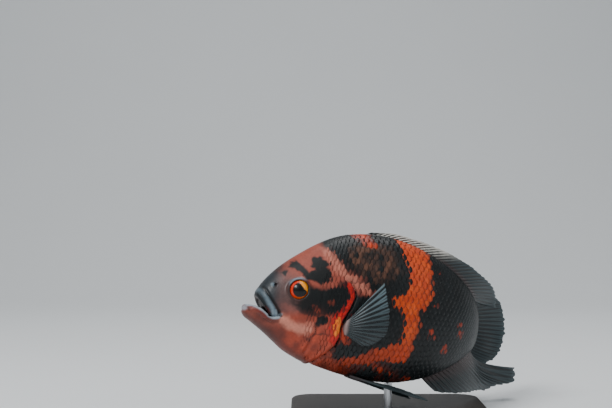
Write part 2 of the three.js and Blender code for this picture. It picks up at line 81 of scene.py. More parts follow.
def through(points, x):
    """A smooth curve through the points that doesn't overshoot between them."""
    px, py = np.array(points, float).T
    slope = np.diff(py) / np.diff(px)
    ahead, behind = slope[:-1], slope[1:]
    total = np.where(ahead + behind == 0, 1, ahead + behind)
    inner = np.where(ahead * behind <= 0, 0, 2 * ahead * behind / total)
    tangent = np.concatenate([slope[:1], inner, slope[-1:]])
    i = np.clip(np.searchsorted(px, x, side="right") - 1, 0, len(px) - 2)
    width = px[i + 1] - px[i]
    t = np.clip((x - px[i]) / width, 0, 1)
    return (py[i] * (1 + 2 * t) * (1 - t) ** 2 + width * tangent[i] * t * (1 - t) ** 2
            + py[i + 1] * t * t * (3 - 2 * t) + width * tangent[i + 1] * t * t * (t - 1))


def section(s):
    """Top, bottom, half-width and the height of the widest place of the body at s, in mm."""
    at = np.asarray(s, float) / PERCENT
    top = through(BACK, at) * PERCENT
    bottom = through(BELLY, at) * PERCENT
    return top, bottom, through(HALF_WIDTH, at) * PERCENT, bottom + (top - bottom) * through(WIDEST_AT, at)


def flank(s, h):
    """Half-width of the body at s and h."""
    top, bottom, width, middle = section(s)
    rise = np.where(h > middle, (h - middle) / (top - middle), (middle - h) / (middle - bottom))
    return width * np.sqrt(np.clip(1 - rise * rise, 0, 1))


def turned(s):
    """Direction of the bent midline at s."""
    start = BEND_START * PERCENT
    return BEND_TOTAL * np.clip((s - start) / (LENGTH - start), 0, 1) ** BEND_POWER


PATH_S = np.arange(-40.0, 320.0)
PATH_X = np.concatenate([[0], np.cumsum(np.cos(turned(PATH_S + 0.5)))[:-1]]) + PATH_S[0]
PATH_Y = np.concatenate([[0], np.cumsum(np.sin(turned(PATH_S + 0.5)))[:-1]])
POSE = (Matrix.Rotation(HEAD_YAW, 3, "Z") @ Matrix.Rotation(PITCH, 3, "Y")
        @ Matrix.Rotation(-BANK, 3, "X"))


def placed(points):
    """Points of the straight fish laid into the bent and posed one, in metres."""
    s, l, h = points[..., 0], points[..., 1], points[..., 2]
    way = turned(s)
    bent = np.stack([np.interp(s, PATH_S, PATH_X) + l * np.sin(way),
                     np.interp(s, PATH_S, PATH_Y) - l * np.cos(way), h], -1)
    return (bent @ np.array(POSE).T + np.array(SNOUT_PLACE)) * MM


def smooth(low, high, x):
    """A soft step from 0 at low to 1 at high."""
    t = np.clip((x - low) / (high - low), 0, 1)
    return t * t * (3 - 2 * t)


def bell(x, width):
    """A soft bump that is 1 where x is 0 and fades over the width."""
    return np.exp(-(x / width) ** 2)


def line_distance(points, s, h):
    """Distance from a run of straight lines in the s, h plane, and how far along it is nearest."""
    best = np.full(np.broadcast(s, h).shape, 1e9)
    along = np.zeros(best.shape)
    for i, ((s0, h0), (s1, h1)) in enumerate(zip(points[:-1], points[1:])):
        ds, dh = s1 - s0, h1 - h0
        t = np.clip(((s - s0) * ds + (h - h0) * dh) / (ds * ds + dh * dh), 0, 1)
        gap = np.hypot(s - s0 - t * ds, h - h0 - t * dh)
        along = np.where(gap < best, (i + t) / (len(points) - 1), along)
        best = np.minimum(best, gap)
    return best, along


def area_distance(points, s, h):
    """Distance from the edge of an area in the s, h plane, negative inside it."""
    inside = np.zeros(np.broadcast(s, h).shape, bool)
    closed = list(points) + [points[0]]
    for (s0, h0), (s1, h1) in zip(closed[:-1], closed[1:]):
        if h0 != h1:
            inside ^= ((h0 > h) != (h1 > h)) & (s < (s1 - s0) * (h - h0) / (h1 - h0) + s0)
    gap = line_distance(closed, s, h)[0]
    return np.where(inside, -gap, gap)


# Landmarks of the head: the eye, the mouth, the crease ahead of the gill cover and the gill opening,
# behind which the shoulder lies deeper than the cover. Lines are in percent; radii, the depth and
# width of each fold, and the height of each swelling are in mm.
EYE_S, EYE_H = 13.6 * PERCENT, 3.4 * PERCENT
EYE_RADIUS, EYE_PROUD = 8.6, 3.3
EYE_OUT = float(flank(EYE_S, EYE_H)) + EYE_PROUD - EYE_RADIUS
EYE_RIM = 0.93 * EYE_RADIUS
NOSTRIL_S, NOSTRIL_H = 5.8 * PERCENT, 4.4 * PERCENT
GAPE_END = (5.2, -6)
UPPER_GAPE = (1.2, 0.6)
LOWER_GAPE = (-2.2, -3.2)
LIP_SEAM = [(4.6, -5.9), (6, -6), (8, -5.6)]
GILL_OPENING = [(27.2, 12), (28.6, 9), (30.6, 7.4), (31.8, 5.2), (32, 3), (31.3, 0.6), (29.8, -2.4),
                (28.6, -5), (28, -7.6), (28.2, -10.4), (27.2, -13.4), (24.4, -16.6), (20.4, -20.4),
                (19, -24)]
COVER_FRONT = [(18, -16.6), (19.2, -13.6), (20.2, -9.6), (20.8, -5), (21, 0), (21.4, 4), (23.4, 6.8)]
LIP_FOLD = [(1.4, 3.7), (2.3, 3.2), (3.1, 2.1), (4, 0.7), (5.8, -1.5), (7.6, -4), (8.5, -5.8)]
LIP_BULGE = [(0.8, 1.9), (2.1, 1.6), (3.4, -0.3), (5, -2.6), (6.6, -4.7)]
JAW_FOLD = [(7.4, -7.8), (10, -9.4), (12.6, -10.6), (14.6, -13)]
CHIN_FOLD = [(-1.8, -6), (1, -6.2), (3.6, -7.6), (6.4, -8)]
FOLDS = [(LIP_FOLD, 1.35, 0.95), (JAW_FOLD, 0.6, 1), (CHIN_FOLD, 0.5, 1.1)]
SWELLINGS = [((15.5, -6), (4, 4), 1.1), ((10.6, -7), (2, 1.6), 0.7)]
LIP_SWELL, LIP_SWELL_WIDTH = 0.9, 2
SHOULDER_STEP, SHOULDER_FADE, SHOULDER_TOP = 1.3, (31, 44), (7.4, 9.6)
SLIT_DEPTH, SLIT_WIDTH = 1.5, 0.75
COVER_EDGE, COVER_EDGE_WIDTH = 0.45, 1.3
CREASE_DEPTH, CREASE_WIDTH, CREASE_BANK, CREASE_BANK_WIDTH = 0.8, 0.9, 0.35, 1.6
GILL_RAYS, GILL_RAY_DEPTH, GILL_RAY_WIDTH = 3, 0.35, 0.7
COAT_DEPTH, COAT_STARTS = 0.35, (24, 36)


def behind_opening(s, h):
    """Distance behind the gill opening in percent, negative on the head."""
    edge = np.array(GILL_OPENING[::-1])
    sign = np.sign(s - np.interp(h, edge[:, 1], edge[:, 0]))
    return sign * line_distance(GILL_OPENING, s, h)[0]


def sunk(s, h):
    """How far the skin lies below the plain outline at s and h, in mm."""
    s, h = s / PERCENT, h / PERCENT
    behind = behind_opening(s, h) * PERCENT
    low = 1 - smooth(*SHOULDER_TOP, h)
    back = 1 - smooth(*SHOULDER_FADE, s)
    deep = SHOULDER_STEP * smooth(-0.4, 0.5, behind) * back * low
    deep = deep + SLIT_DEPTH * bell(behind - 0.9, SLIT_WIDTH) * low
    deep = deep - COVER_EDGE * bell(behind + 2, COVER_EDGE_WIDTH) * low
    crease = line_distance(COVER_FRONT, s, h)[0] * PERCENT
    bank = CREASE_BANK * bell(crease - 2.4, CREASE_BANK_WIDTH)
    firm = 0.12 + 0.88 * smooth(-3, -8, h)
    deep = deep + firm * (CREASE_DEPTH * bell(crease, CREASE_WIDTH) - bank)
    for fold, depth, width in FOLDS:
        away, along = line_distance(fold, s, h)
        fading = 0.15 + 0.85 * smooth(0.05, 0.35, along)
        deep = deep + depth * fading * bell(away * PERCENT, width)
    deep = deep - LIP_SWELL * bell(line_distance(LIP_BULGE, s, h)[0] * PERCENT, LIP_SWELL_WIDTH)
    strength = GILL_RAY_DEPTH * smooth(-22, -13, h) * (1 - smooth(-12, -8, h))
    for ray in range(GILL_RAYS):
        gill_ray = [(c[0] - 1.1 - 1.2 * ray, c[1] - 1.3 - 0.9 * ray) for c in COVER_FRONT[:3]]
        deep = deep + strength * bell(line_distance(gill_ray, s, h)[0] * PERCENT, GILL_RAY_WIDTH)
    for (at_s, at_h), (long, tall), height in SWELLINGS:
        deep = deep - height * np.exp(-(((s - at_s) / long) ** 2 + ((h - at_h) / tall) ** 2))
    return deep + COAT_DEPTH * smooth(*COAT_STARTS, s)


# Each lip is a roll of flesh: how far back, how far out as a share of the half-width, and how high.
UPPER_LIP = [(1.5, 0, 0.9), (1.7, 0.42, 0.6), (2.7, 0.74, -0.9), (4.1, 0.91, -2.8), (5.5, 0.98, -4.5),
             (7, 1, -5.6)]
LOWER_LIP = [(-2.5, 0, -4), (-1.9, 0.5, -3.9), (0, 0.78, -4.15), (1.9, 0.92, -4.9), (3.7, 0.98, -6.15),
             (5.6, 0.98, -7.15), (7.6, 0.96, -6.9)]
UPPER_LIP_RADII = (2.7, 2.7, 2.5, 2.2, 1.8, 1.1)
LOWER_LIP_RADII = (2.6, 2.5, 2.4, 2.3, 2.1, 1.9, 1.5)
LIP_INSET = 0.4
MOUTH_HOLLOW, MOUTH_HOLLOW_RADII = (7.4 * PERCENT, 0, -5 * PERCENT), (15, 8.5, 6)
SEAM_DEPTH, SEAM_WIDTH = 1.8, 0.5
NOSTRIL_RING, NOSTRIL_RING_THICK, NOSTRIL_HOLE = 1.35, 0.55, 1.15
SOCKET_RING_THICK, SOCKET_GAP = 1.25, 0.15
JAW_FRONT, MOUTH_REAR, SOCKET_REACH = -3.45 * PERCENT, 13 * PERCENT, 16


def lip_run(points):
    """Centre line of one lip, from the front round to the mouth corner on the left."""
    s, out, h = (np.array(points) * (PERCENT, 1, PERCENT)).T
    return np.stack([s, out * (flank(s, h) - LIP_INSET), h], -1)


def roll_distance(run, radii, s, l, h):
    """Distance from a roll of flesh round a run of points."""
    best = np.full(np.broadcast(s, l, h).shape, 1e9)
    for (a, b, ra, rb) in zip(run[:-1], run[1:], radii[:-1], radii[1:]):
        way = b - a
        t = ((s - a[0]) * way[0] + (l - a[1]) * way[1] + (h - a[2]) * way[2]) / (way @ way)
        t = np.clip(t, 0, 1)
        gap = np.sqrt((s - a[0] - t * way[0]) ** 2 + (l - a[1] - t * way[1]) ** 2
                      + (h - a[2] - t * way[2]) ** 2)
        best = np.minimum(best, gap - ra - t * (rb - ra))
    return best


def joined(a, b, soft):
    """Two distances joined with a soft inner corner."""
    mix = np.clip(0.5 + 0.5 * (b - a) / soft, 0, 1)
    return b + (a - b) * mix - soft * mix * (1 - mix)


def carved(a, b, soft):
    """Distance a with b cut out of it, its edge softened."""
    return -joined(-a, b, soft)


def ball_distance(centre, radii, s, l, h):
    """Distance from a ball, or from a ball with a radius of its own for each direction."""
    radii = np.broadcast_to(radii, 3)
    scaled = [(v - c) / r for v, c, r in zip((s, l, h), centre, radii)]
    return (np.sqrt(sum(v * v for v in scaled)) - 1) * radii.min()


def ring_distance(centre, radius, thick, s, l, h):
    """Distance from a ring of flesh that faces outwards."""
    flat = np.hypot(s - centre[0], h - centre[2]) - radius
    return np.hypot(flat, l - centre[1]) - thick


def with_mouth(body, s, l, h):
    """The snout's flesh with the gape and the mouth's hollow cut into it, the lips and a nostril."""
    end = np.array(GAPE_END) * PERCENT
    wedge = np.full(body.shape, -1e9)
    for gape, up in ((UPPER_GAPE, 1), (LOWER_GAPE, -1)):
        way = np.array(gape) * PERCENT - end
        way = way / np.hypot(*way)
        wedge = np.maximum(wedge, up * ((s - end[0]) * way[1] - (h - end[1]) * way[0]))
    body = carved(body, wedge, 0.8)
    body = carved(body, ball_distance(MOUTH_HOLLOW, MOUTH_HOLLOW_RADII, s, l, h), 1)
    upper = roll_distance(lip_run(UPPER_LIP), UPPER_LIP_RADII, s, l, h)
    lower = roll_distance(lip_run(LOWER_LIP), LOWER_LIP_RADII, s, l, h)
    body = joined(body, np.minimum(upper, lower), 0.8)
    seam = line_distance(LIP_SEAM, s / PERCENT, h / PERCENT)[0] * PERCENT
    body = body + SEAM_DEPTH * bell(seam, SEAM_WIDTH)
    hole = (NOSTRIL_S, float(flank(NOSTRIL_S, NOSTRIL_H)), NOSTRIL_H)
    body = joined(body, ring_distance(hole, NOSTRIL_RING, NOSTRIL_RING_THICK, s, l, h), 0.9)
    return carved(body, ball_distance(hole, NOSTRIL_HOLE, s, l, h), 0.4)


def with_socket(body, s, l, h):
    """The head's flesh with the eye's raised rim and the socket inside it."""
    rim = (EYE_S, EYE_OUT + 0.46 * EYE_RADIUS, EYE_H)
    body = joined(body, ring_distance(rim, EYE_RIM, SOCKET_RING_THICK, s, l, h), 2.4)
    ball = ball_distance((EYE_S, EYE_OUT, EYE_H), EYE_RADIUS + SOCKET_GAP, s, l, h)
    return carved(body, ball, 0.5)


def flesh_distance(s, l, h):
    """Distance from the flesh at points of the straight fish, on the left side of the middle."""
    top, bottom, width, middle = section(s)
    reach = np.where(h > middle, top - middle, middle - bottom)
    share = np.sqrt((l / width) ** 2 + ((h - middle) / reach) ** 2) + 1e-6
    steep = np.sqrt(l * l / width ** 4 + (h - middle) ** 2 / reach ** 4) / share + 1e-6
    body = (share - 1) / steep + sunk(s, h)
    body = np.maximum(body, JAW_FRONT - s)
    body = np.maximum(body, s - LENGTH)
    snout = s[:, 0, 0] < MOUTH_REAR
    body[snout] = with_mouth(body[snout], s[snout], l, h)
    around_eye = (s[:, 0, 0] > EYE_S - SOCKET_REACH) & (s[:, 0, 0] < EYE_S + SOCKET_REACH)
    body[around_eye] = with_socket(body[around_eye], s[around_eye], l, h)
    return body


def net(value, xs, ys, zs):
    """The surface where a grid of distances is zero: points and four-sided faces, wound outwards."""
    shape = np.array(value.shape)
    filled = value < 0
    offsets = [np.array(o) for o in np.ndindex(2, 2, 2)]
    count = sum(filled[tuple(slice(o, n - 1 + o) for o, n in zip(off, shape))].astype(np.int8)
                for off in offsets)
    cells = np.argwhere((count > 0) & (count < 8))
    number = np.full(shape - 1, -1, np.int64)
    number[tuple(cells.T)] = np.arange(len(cells))
    grid = (xs, ys, zs)
    total = np.zeros((len(cells), 3))
    crossed = np.zeros(len(cells))
    for axis in range(3):
        for off in offsets:
            if off[axis]:
                continue
            low, high = cells + off, cells + off
            high[:, axis] += 1
            a, b = value[tuple(low.T)], value[tuple(high.T)]
            cut = (a < 0) != (b < 0)
            t = np.where(cut, a / np.where(cut, a - b, 1), 0)
            for k in range(3):
                here = grid[k][low[:, k]] * (1 - t) + grid[k][high[:, k]] * t
                total[:, k] += np.where(cut, here, 0)
            crossed += cut
    points = total / crossed[:, None]
    faces = []
    for axis in range(3):
        step = np.zeros(3, int)
        step[axis] = 1
        ends = [slice(1, n - 1) for n in shape]
        ends[axis] = slice(0, shape[axis] - 1)
        low = filled[tuple(ends)]
        ends[axis] = slice(1, shape[axis])
        high = filled[tuple(ends)]
        edge = np.argwhere(low != high)
        outward = low[tuple(edge.T)]
        edge = edge + (1 - step)
        u, v = np.zeros(3, int), np.zeros(3, int)
        u[(axis + 1) % 3], v[(axis + 2) % 3] = 1, 1
        quad = np.stack([number[tuple((edge - d).T)] for d in (u + v, v, 0 * u, u)], -1)
        quad[~outward] = quad[~outward][:, ::-1]
        faces.append(quad)
    return points, np.concatenate(faces)


# The grid on which the skin is found is finer at the head than along the trunk.
HEAD_STEP, TRUNK_STEP, CROSS_STEP = 0.57, 2.1, 0.68
SKIN_S = np.concatenate([np.arange(-8.6, 73, HEAD_STEP), np.arange(74, LENGTH + 2.5, TRUNK_STEP)])
SKIN_L = np.arange(0, 28.5, CROSS_STEP)
SKIN_H = np.arange(-56, 62, CROSS_STEP)
half = flesh_distance(SKIN_S[:, None, None], SKIN_L[None, :, None], SKIN_H[None, None, :])
whole = np.concatenate([half[:, :0:-1], half], 1)
skin_points, skin_faces = net(whole, SKIN_S, np.concatenate([-SKIN_L[:0:-1], SKIN_L]), SKIN_H)
del half, whole


def relaxed(points, faces, rounds, share):
    """Points moved towards the middle of their neighbours and back, so that steps fade."""
    edges = np.concatenate([faces[:, [i, (i + 1) % 4]] for i in range(4)])
    for amount in (share, -share * 1.03) * rounds:
        total = np.zeros_like(points)
        count = np.zeros(len(points))
        for a, b in ((0, 1), (1, 0)):
            for k in range(3):
                total[:, k] += np.bincount(edges[:, a], points[edges[:, b], k], len(points))
            count += np.bincount(edges[:, a], minlength=len(points))
        points = points + amount * (total / count[:, None] - points)
    return points


skin_points = relaxed(skin_points, skin_faces, rounds=3, share=0.5)


# The markings of a tiger oscar, on skin and scales alike: ink-dark body, a ragged orange band,
# a salmon and coral head with dark blotches, a slate snout and a red rim to the gill cover, with
# painted highlights on the crown, jaw, lips, nostril and eye rim, and painted shade in the creases,
# the gill slit, the lip's groove and notch and under the throat.
def colour(code):
    """A screen colour as linear light."""
    parts = [int(code[i:i + 2], 16) / 255 for i in (0, 2, 4)]
    return np.array([c / 12.92 if c <= 0.04045 else ((c + 0.055) / 1.055) ** 2.4 for c in parts])


NOISE_CELLS = 96


def noise(s, h, scale, seed):
    """Smooth seeded noise from -1 to 1 over the s, h plane."""
    table = np.random.default_rng(seed).uniform(-1, 1, (NOISE_CELLS + 1, NOISE_CELLS + 1))
    x, y = s / scale + 11.3, h / scale + 23.7
    i, j = np.floor(x).astype(int), np.floor(y).astype(int)
    u, v = x - i, y - j
    u, v = u * u * (3 - 2 * u), v * v * (3 - 2 * v)
    i, j = i % NOISE_CELLS, j % NOISE_CELLS
    return ((table[i, j] * (1 - u) + table[i + 1, j] * u) * (1 - v)
            + (table[i, j + 1] * (1 - u) + table[i + 1, j + 1] * u) * v)


INK, INK_SHEEN, DEEP_TEAL = colour("05090a"), colour("121b1d"), colour("0a1c20")
SLATE, SLATE_PALE, SNOUT = colour("242c31"), colour("7d919e"), colour("3a2a28")
SLATE_DEEP, LIP_RED, MAUVE = colour("11171a"), colour("6e1a10"), colour("70504c")
SALMON, CORAL, ROSE, LIVER = colour("934637"), colour("a8422b"), colour("d0846f"), colour("48201a")
BAND, BAND_BRIGHT, BAND_DARK = colour("b8360a"), colour("db5416"), colour("76220a")
BROWN, RED, GOLD, LIP = colour("6a4534"), colour("b8120a"), colour("e87c18"), colour("9aa6af")
# Flesh inside the mouth: partly its own dark red and partly painted shade.
MOUTH_FLESH_IN_SHADE = colour("3a1f1e")
BAND_AREA = [(46.5, 29), (47.9, 23.1), (48.5, 20.9), (50, 17.8), (51.2, 14.5), (51.2, 11.1), (50.8, 7.7),
             (48.9, 5.3), (45, 4.4), (46.2, 1.3), (49, -0.8), (50, -3.1), (50, -6.4), (48.9, -9.8),
             (46.6, -11.7), (41.6, -13), (36.1, -15.6), (30, -17.6), (30.3, -19.6), (38.2, -17.9),
             (45.7, -16.4), (49.8, -16.8), (52.6, -15.1), (53.5, -11.7), (54.5, -6.6), (54.8, -2.5),
             (54.8, 1.6), (56.8, 3.6), (58.5, 6.3), (58.9, 10.6), (58.6, 14.7), (58.4, 19.1), (57.2, 29)]
MOTTLE_AREA = [(29.6, 19.3), (35, 22.2), (41.1, 22), (45.2, 20.5), (46.8, 15.5), (46, 11.3), (39.1, 9.5),
               (33.9, 10.8), (30.3, 14.2)]
WEDGE_AREA = [(30.4, 28), (31.1, 23.6), (33.9, 22.9), (37, 20.4), (39, 21.4), (38.4, 23), (36, 28)]
SNOUT_AREA = [(-6, -1), (0.6, 4), (4, 9), (7.2, 9.4), (8.6, 6.6), (8.8, 2.6), (9.4, -0.4), (9, -4),
              (8.2, -6), (6.2, -6.6), (4.6, -6), (1.8, -3.6), (-1, -2.6)]
CROWN_AREA = [(7.2, 5.6), (6.6, 9.4), (9, 14), (14, 19), (19, 24), (20.8, 20.2), (22.3, 18.9), (23.8, 16.7),
              (24.8, 14.9), (26.3, 13.5), (28.2, 12.2), (30.7, 10.9), (33.3, 9.6), (36, 7.2), (37.8, 5.2),
              (38.8, 4.2), (36.2, 3.9), (33.7, 4), (31.8, 5.4), (29.6, 7), (27.7, 8.3), (25.9, 7.2),
              (24.1, 5.7), (20.5, 4.7), (16.9, 4.9), (15.4, 7), (11, 7.2)]
JAW_AREA = [(8.2, -5.2), (9.2, -1.8), (12, -2.6), (14.6, -4.4), (17.2, -5), (20, -4.4), (25.2, -4.4),
            (28, -5.4), (28.6, -8), (28.8, -11), (27.4, -14), (26.2, -17.8), (30, -19.4), (30, -28), (8, -26),
            (-8, -10), (-6, -3), (-1.8, -2.6), (2, -3.8), (5, -6.4)]
CHEEK_AREA = [(10.8, -0.4), (13.2, -1), (16.5, 2.8), (19.4, 3.6), (23.5, 4.7), (25.9, 6.9), (28.3, 5.9),
              (29.1, 3.6), (28.8, 1.1), (27.1, -1.4), (24.8, -2.6), (22.3, -2.4), (19.4, -3.4),
              (17.1, -3.6), (14.5, -2.8), (12, -1.8)]
RIM_AREA = [(27.4, 6.9), (29.8, 7.5), (31.9, 5.4), (32.4, 3.4), (31.8, 1), (30.6, -1), (29.6, -3),
            (28.8, -5.4), (28.4, -8), (28.6, -11), (27.4, -13.6), (25.6, -13.2), (25, -11), (24.8, -8),
            (25.2, -5), (26.6, -3), (28, -1), (29.1, 0.6), (29.8, 2.4), (29.6, 4.4), (28.9, 5.4)]
FLAP_AREA = [(28.4, -7.4), (29.1, -6.8), (30.3, -7.9), (31.8, -12.5), (29.9, -12.1), (28.8, -10.6)]
SHOULDER_AREA = [(31.2, -2.1), (33.7, -1.4), (34.8, -1.8), (34.3, -3.7), (32.7, -4.8), (31.3, -4.1)]
PATCH_AREAS = [
    [(7.4, 8.8), (8.4, 9.9), (9.6, 9.6), (9.2, 8.5)],
    [(10.4, 11), (10.8, 12), (12.4, 12.9), (13.8, 12.2), (15.2, 10.8), (16.4, 9.2), (17.6, 8.6), (17.4, 7.5),
     (15.9, 7.7), (13.8, 9.4), (12, 10.2)],
    [(17.2, 12.2), (17.4, 13.8), (18.5, 14.8), (20.3, 15), (21.9, 14), (22.3, 12.7), (21.6, 11.8),
     (22.9, 10.9), (23.4, 9.3), (22.7, 7.6), (21, 6.8), (19.2, 7), (17.6, 7.6), (16.8, 8.8), (17.6, 10.1),
     (18.9, 10.6), (18.4, 11.6)],
    [(19.2, 6.8), (20, 5.9), (21.2, 6.4), (20.8, 7.2)],
    [(19.4, -4.6), (22.6, -4.2), (23.6, -6), (21.1, -7.4), (19.5, -6.7)],
    [(26, 6.4), (27.6, 6.8), (29, 5.2), (28.8, 3), (27, 2.6), (25.6, 4)],
]
FLECKS = [((59.7, -5.2), 0.9), ((60, -6.8), 0.9), ((66.4, -10.7), 1.2), ((60.6, 3.7), 0.6),
          ((54.6, -22), 1.3), ((43, -18.9), 1.2), ((71.6, -1.4), 0.9), ((72.4, -4.4), 1.1),
          ((62.5, 15.5), 0.7), ((49, -20.5), 1)]
EYESPOT = (93.4, 3.4)
CROWN_SHEEN = [(22, 17), (25.4, 12), (29, 9.8), (32.6, 7.4), (36, 5.8)]
JAW_SHEEN = [(9.4, -6.4), (12, -8.4), (15, -9.6), (17.4, -9)]
GOLD_STREAKS = [[(26.4, -5.6), (26.3, -8), (25.9, -10)], [(27.6, -5), (27.5, -7.6), (27.2, -9.6)]]
# Painted shade: lines along the creases of the cheek and gill cover.
CREASE_SHADE_LINES = [[(19.6, -6.6), (20.2, -8.6), (19.7, -11), (17.9, -13.6)],
               [(20.1, -10.6), (22.7, -10.1), (24.8, -11)]]
# Painted highlight along the crest of the upper lip.
LIP_HIGHLIGHT_ARC = [(0.8, 2.3), (2, 1.1), (3.2, -0.4), (4.2, -2), (5.2, -3.3), (6, -4.8), (6.8, -6)]
LIP_WISPS = [[(5.3, -4.4), (5.8, -5.9)], [(6.5, -4), (6.9, -6)]]
LIP_RIM = [(-2.4, -3), (-0.8, -2.9), (1.1, -3.6), (3.3, -4.9), (4.5, -6), (5.9, -6.5), (7.6, -6.2),
           (8.2, -5.3)]
# Painted highlight on the tip of the lower lip.
LIP_TIP_HIGHLIGHT = (-3.2, -4.1)
# Painted shadow in the notch between the lip's tip and the red lip.
CHIN_NOTCH_SHADE = [(-2.1, -3.9), (-1.8, -4.8)]


def over(under, shade, amount):
    """One colour laid over another, by an amount for each point."""
    return under + (shade - under) * amount[..., None]


class Livery:
    """The colours of one side, laid one over another at points s and h, in percent.

    The sides differ a little, as on the fish. Ragged edges follow ws and wh, crisp ones s and h."""

    def __init__(self, s, h, left):
        self.seed = 7 if left else 31
        self.s = s + (0 if left else 1.1) * smooth(30, 45, s)
        self.h = h
        self.ws = self.s + 0.55 * self.mottling(2.1, 0) + 0.35 * self.mottling(0.8, 1)
        self.wh = h + 0.55 * self.mottling(2.3, 2) + 0.35 * self.mottling(0.8, 3)
        self.grain = self.mottling(0.45, 4)
        self.cloud = self.mottling(4.5, 5)
        self.tint = np.broadcast_to(INK, s.shape + (3,)).copy()

    def mottling(self, scale, number):
        """Noise of this side's own."""
        return noise(self.s, self.h, scale, self.seed + number)

    def inside(self, area, soft, shift=0.0):
        """1 inside an area and 0 outside it, with a ragged edge."""
        return smooth(soft, -soft, area_distance(area, self.ws, self.wh) + shift)

    def ragged(self, line, outer, inner):
        """1 along a line, fading from the inner to the outer distance with a ragged edge."""
        return smooth(outer, inner, line_distance(line, self.ws, self.wh)[0])

    def crisp(self, line, outer, inner):
        """1 along a line, fading from the inner to the outer distance with a crisp edge."""
        return smooth(outer, inner, line_distance(line, self.s, self.h)[0])

    def lay(self, shade, amount):
        """One more colour over those that are there."""
        self.tint = over(self.tint, shade, amount)


def mark_body(side):
    """Ink-dark body, ragged orange band, mottled shoulder, flecks, and eyespot on the tail stalk."""
    s, h = side.s, side.h
    side.lay(INK_SHEEN, np.clip(0.3 + 0.45 * side.cloud + 0.2 * side.grain, 0, 1))
    side.lay(DEEP_TEAL, smooth(6, 0, h) * smooth(50, 80, s) * 0.5)
    speckle = np.clip(0.5 + 0.75 * side.mottling(1.2, 6), 0, 1)
    side.lay(BROWN, side.inside(MOTTLE_AREA, 1.8) * speckle * 0.8)
    side.lay(BAND, side.inside(WEDGE_AREA, 0.7) * np.clip(0.75 + 0.5 * side.grain, 0, 1))
    breast = smooth(-16.5, -20, h) * smooth(60, 34, s) * smooth(0, 20, s)
    side.lay(BAND_DARK, breast * np.clip(0.25 + 0.9 * side.mottling(2.4, 7), 0, 1))
    band = side.inside(BAND_AREA, 0.35)
    glow = np.clip(0.5 + 0.4 * side.mottling(1.9, 8) + 0.2 * side.grain, 0, 1)
    glow = glow * (0.35 + 0.65 * smooth(-15, -6, h))
    side.lay(BAND + (BAND_BRIGHT - BAND) * glow[:, None], band)
    side.lay(BAND_DARK, band * smooth(-10, -17, h) * smooth(50, 38, s) * 0.6)
    for (at_s, at_h), radius in FLECKS:
        away = np.hypot(side.ws - at_s, (side.wh - at_h) * 0.8)
        side.lay(BAND, smooth(radius, radius * 0.5, away) * 0.75)
    spot = np.hypot((side.ws - EYESPOT[0]) * 1.1, side.wh - EYESPOT[1])
    side.lay(BAND_BRIGHT, smooth(3.4, 2.7, spot) * 0.9)
    side.lay(INK, smooth(2.3, 1.8, spot))


def mark_head(side):
    """Salmon crown, coral jaw, slate snout, mauve cheekbone and ink-dark patches."""
    s, h = side.s, side.h
    face = smooth(27, 21, s) * smooth(19, 15, s + 0.3 * h)
    side.lay(SNOUT, np.clip(face * 0.9, 0, 1))
    side.lay(LIVER, smooth(24, 20, s) * smooth(1, -3, h) * 0.75)
    crown = side.inside(CROWN_AREA, 1.1)
    side.lay(SALMON, crown * (0.35 + 0.65 * smooth(6, 13, s)))
    side.lay(ROSE, side.ragged(CROWN_SHEEN, 2.4, 0.3) * 0.5 * crown)
    jaw = side.inside(JAW_AREA, 1.1)
    side.lay(LIVER + (CORAL - LIVER) * smooth(3, 17, s)[:, None], jaw)
    side.lay(SALMON, jaw * smooth(-11, -8, h) * 0.6)
    side.lay(RED, jaw * smooth(21, 26, s) * smooth(-15, -8, h) * 0.4)
    side.lay(LIVER, jaw * np.clip(0.3 + 0.9 * side.mottling(2.6, 9), 0, 1) * 0.6)
    side.lay(LIVER, jaw * smooth(1.5, 0, (h + 10.5) + 0.62 * (s - 4)) * 0.55)
    # Painted shade: the underside of the throat darkened with ink towards the bottom.
    side.lay(INK, jaw * smooth(-17, -22, h) * smooth(4, 14, s) * 0.45)
    side.lay(ROSE, side.ragged(JAW_SHEEN, 2.6, 0.4) * 0.8)
    side.lay(SLATE, side.inside(SNOUT_AREA, 1.4) * (0.9 - 0.6 * smooth(5, 8.5, s)))
    cheekbone = smooth(4.6, 8.4, s) * smooth(15.5, 12, s) * smooth(-6, -3, h) * smooth(10, 6.5, h)
    side.lay(MAUVE, cheekbone * (0.5 + 0.15 * side.cloud))
    side.lay(INK, side.inside(CHEEK_AREA, 1.3) * np.clip(0.85 + 0.2 * side.cloud, 0, 0.96))
    blotchy = np.clip(1.6 * side.mottling(1.7, 10) - 0.1, 0, 1)
    side.lay(CORAL, smooth(5.4, 2.6, np.hypot(s - 21, (h + 1.2) * 1.5)) * blotchy * 0.5)
    for area in PATCH_AREAS:
        side.lay(INK, side.inside(area, 0.4, -0.3))


def mark_gill_cover(side):
    """Red rim with gold streaks, painted shade in creases, orange flap, red shoulder patch and painted shade
    in the slit.
    """
    side.lay(RED, side.inside(RIM_AREA, 0.4) * np.clip(0.85 + 0.3 * side.grain, 0, 1))
    for streak in GOLD_STREAKS:
        side.lay(GOLD, side.ragged(streak, 0.55, 0.15) * 0.85)
    # Painted shade: dark lines along the creases of the cheek and gill cover.
    for crease_shade in CREASE_SHADE_LINES:
        side.lay(LIVER, side.ragged(crease_shade, 0.6, 0.15) * 0.7)
    side.lay(BAND, side.inside(FLAP_AREA, 0.6) * 0.8)
    speckle = np.clip(0.4 + 1.1 * side.mottling(1.1, 11), 0, 1)
    side.lay(RED, side.inside(SHOULDER_AREA, 0.8) * speckle * 0.6)
    # Painted shade: ink laid in the gill slit behind the cover's edge.
    slit = bell(behind_opening(side.s, side.h) - 0.45, 0.32)
    side.lay(INK, slit * smooth(8.6, 7, side.h) * smooth(-22, -18, side.h))


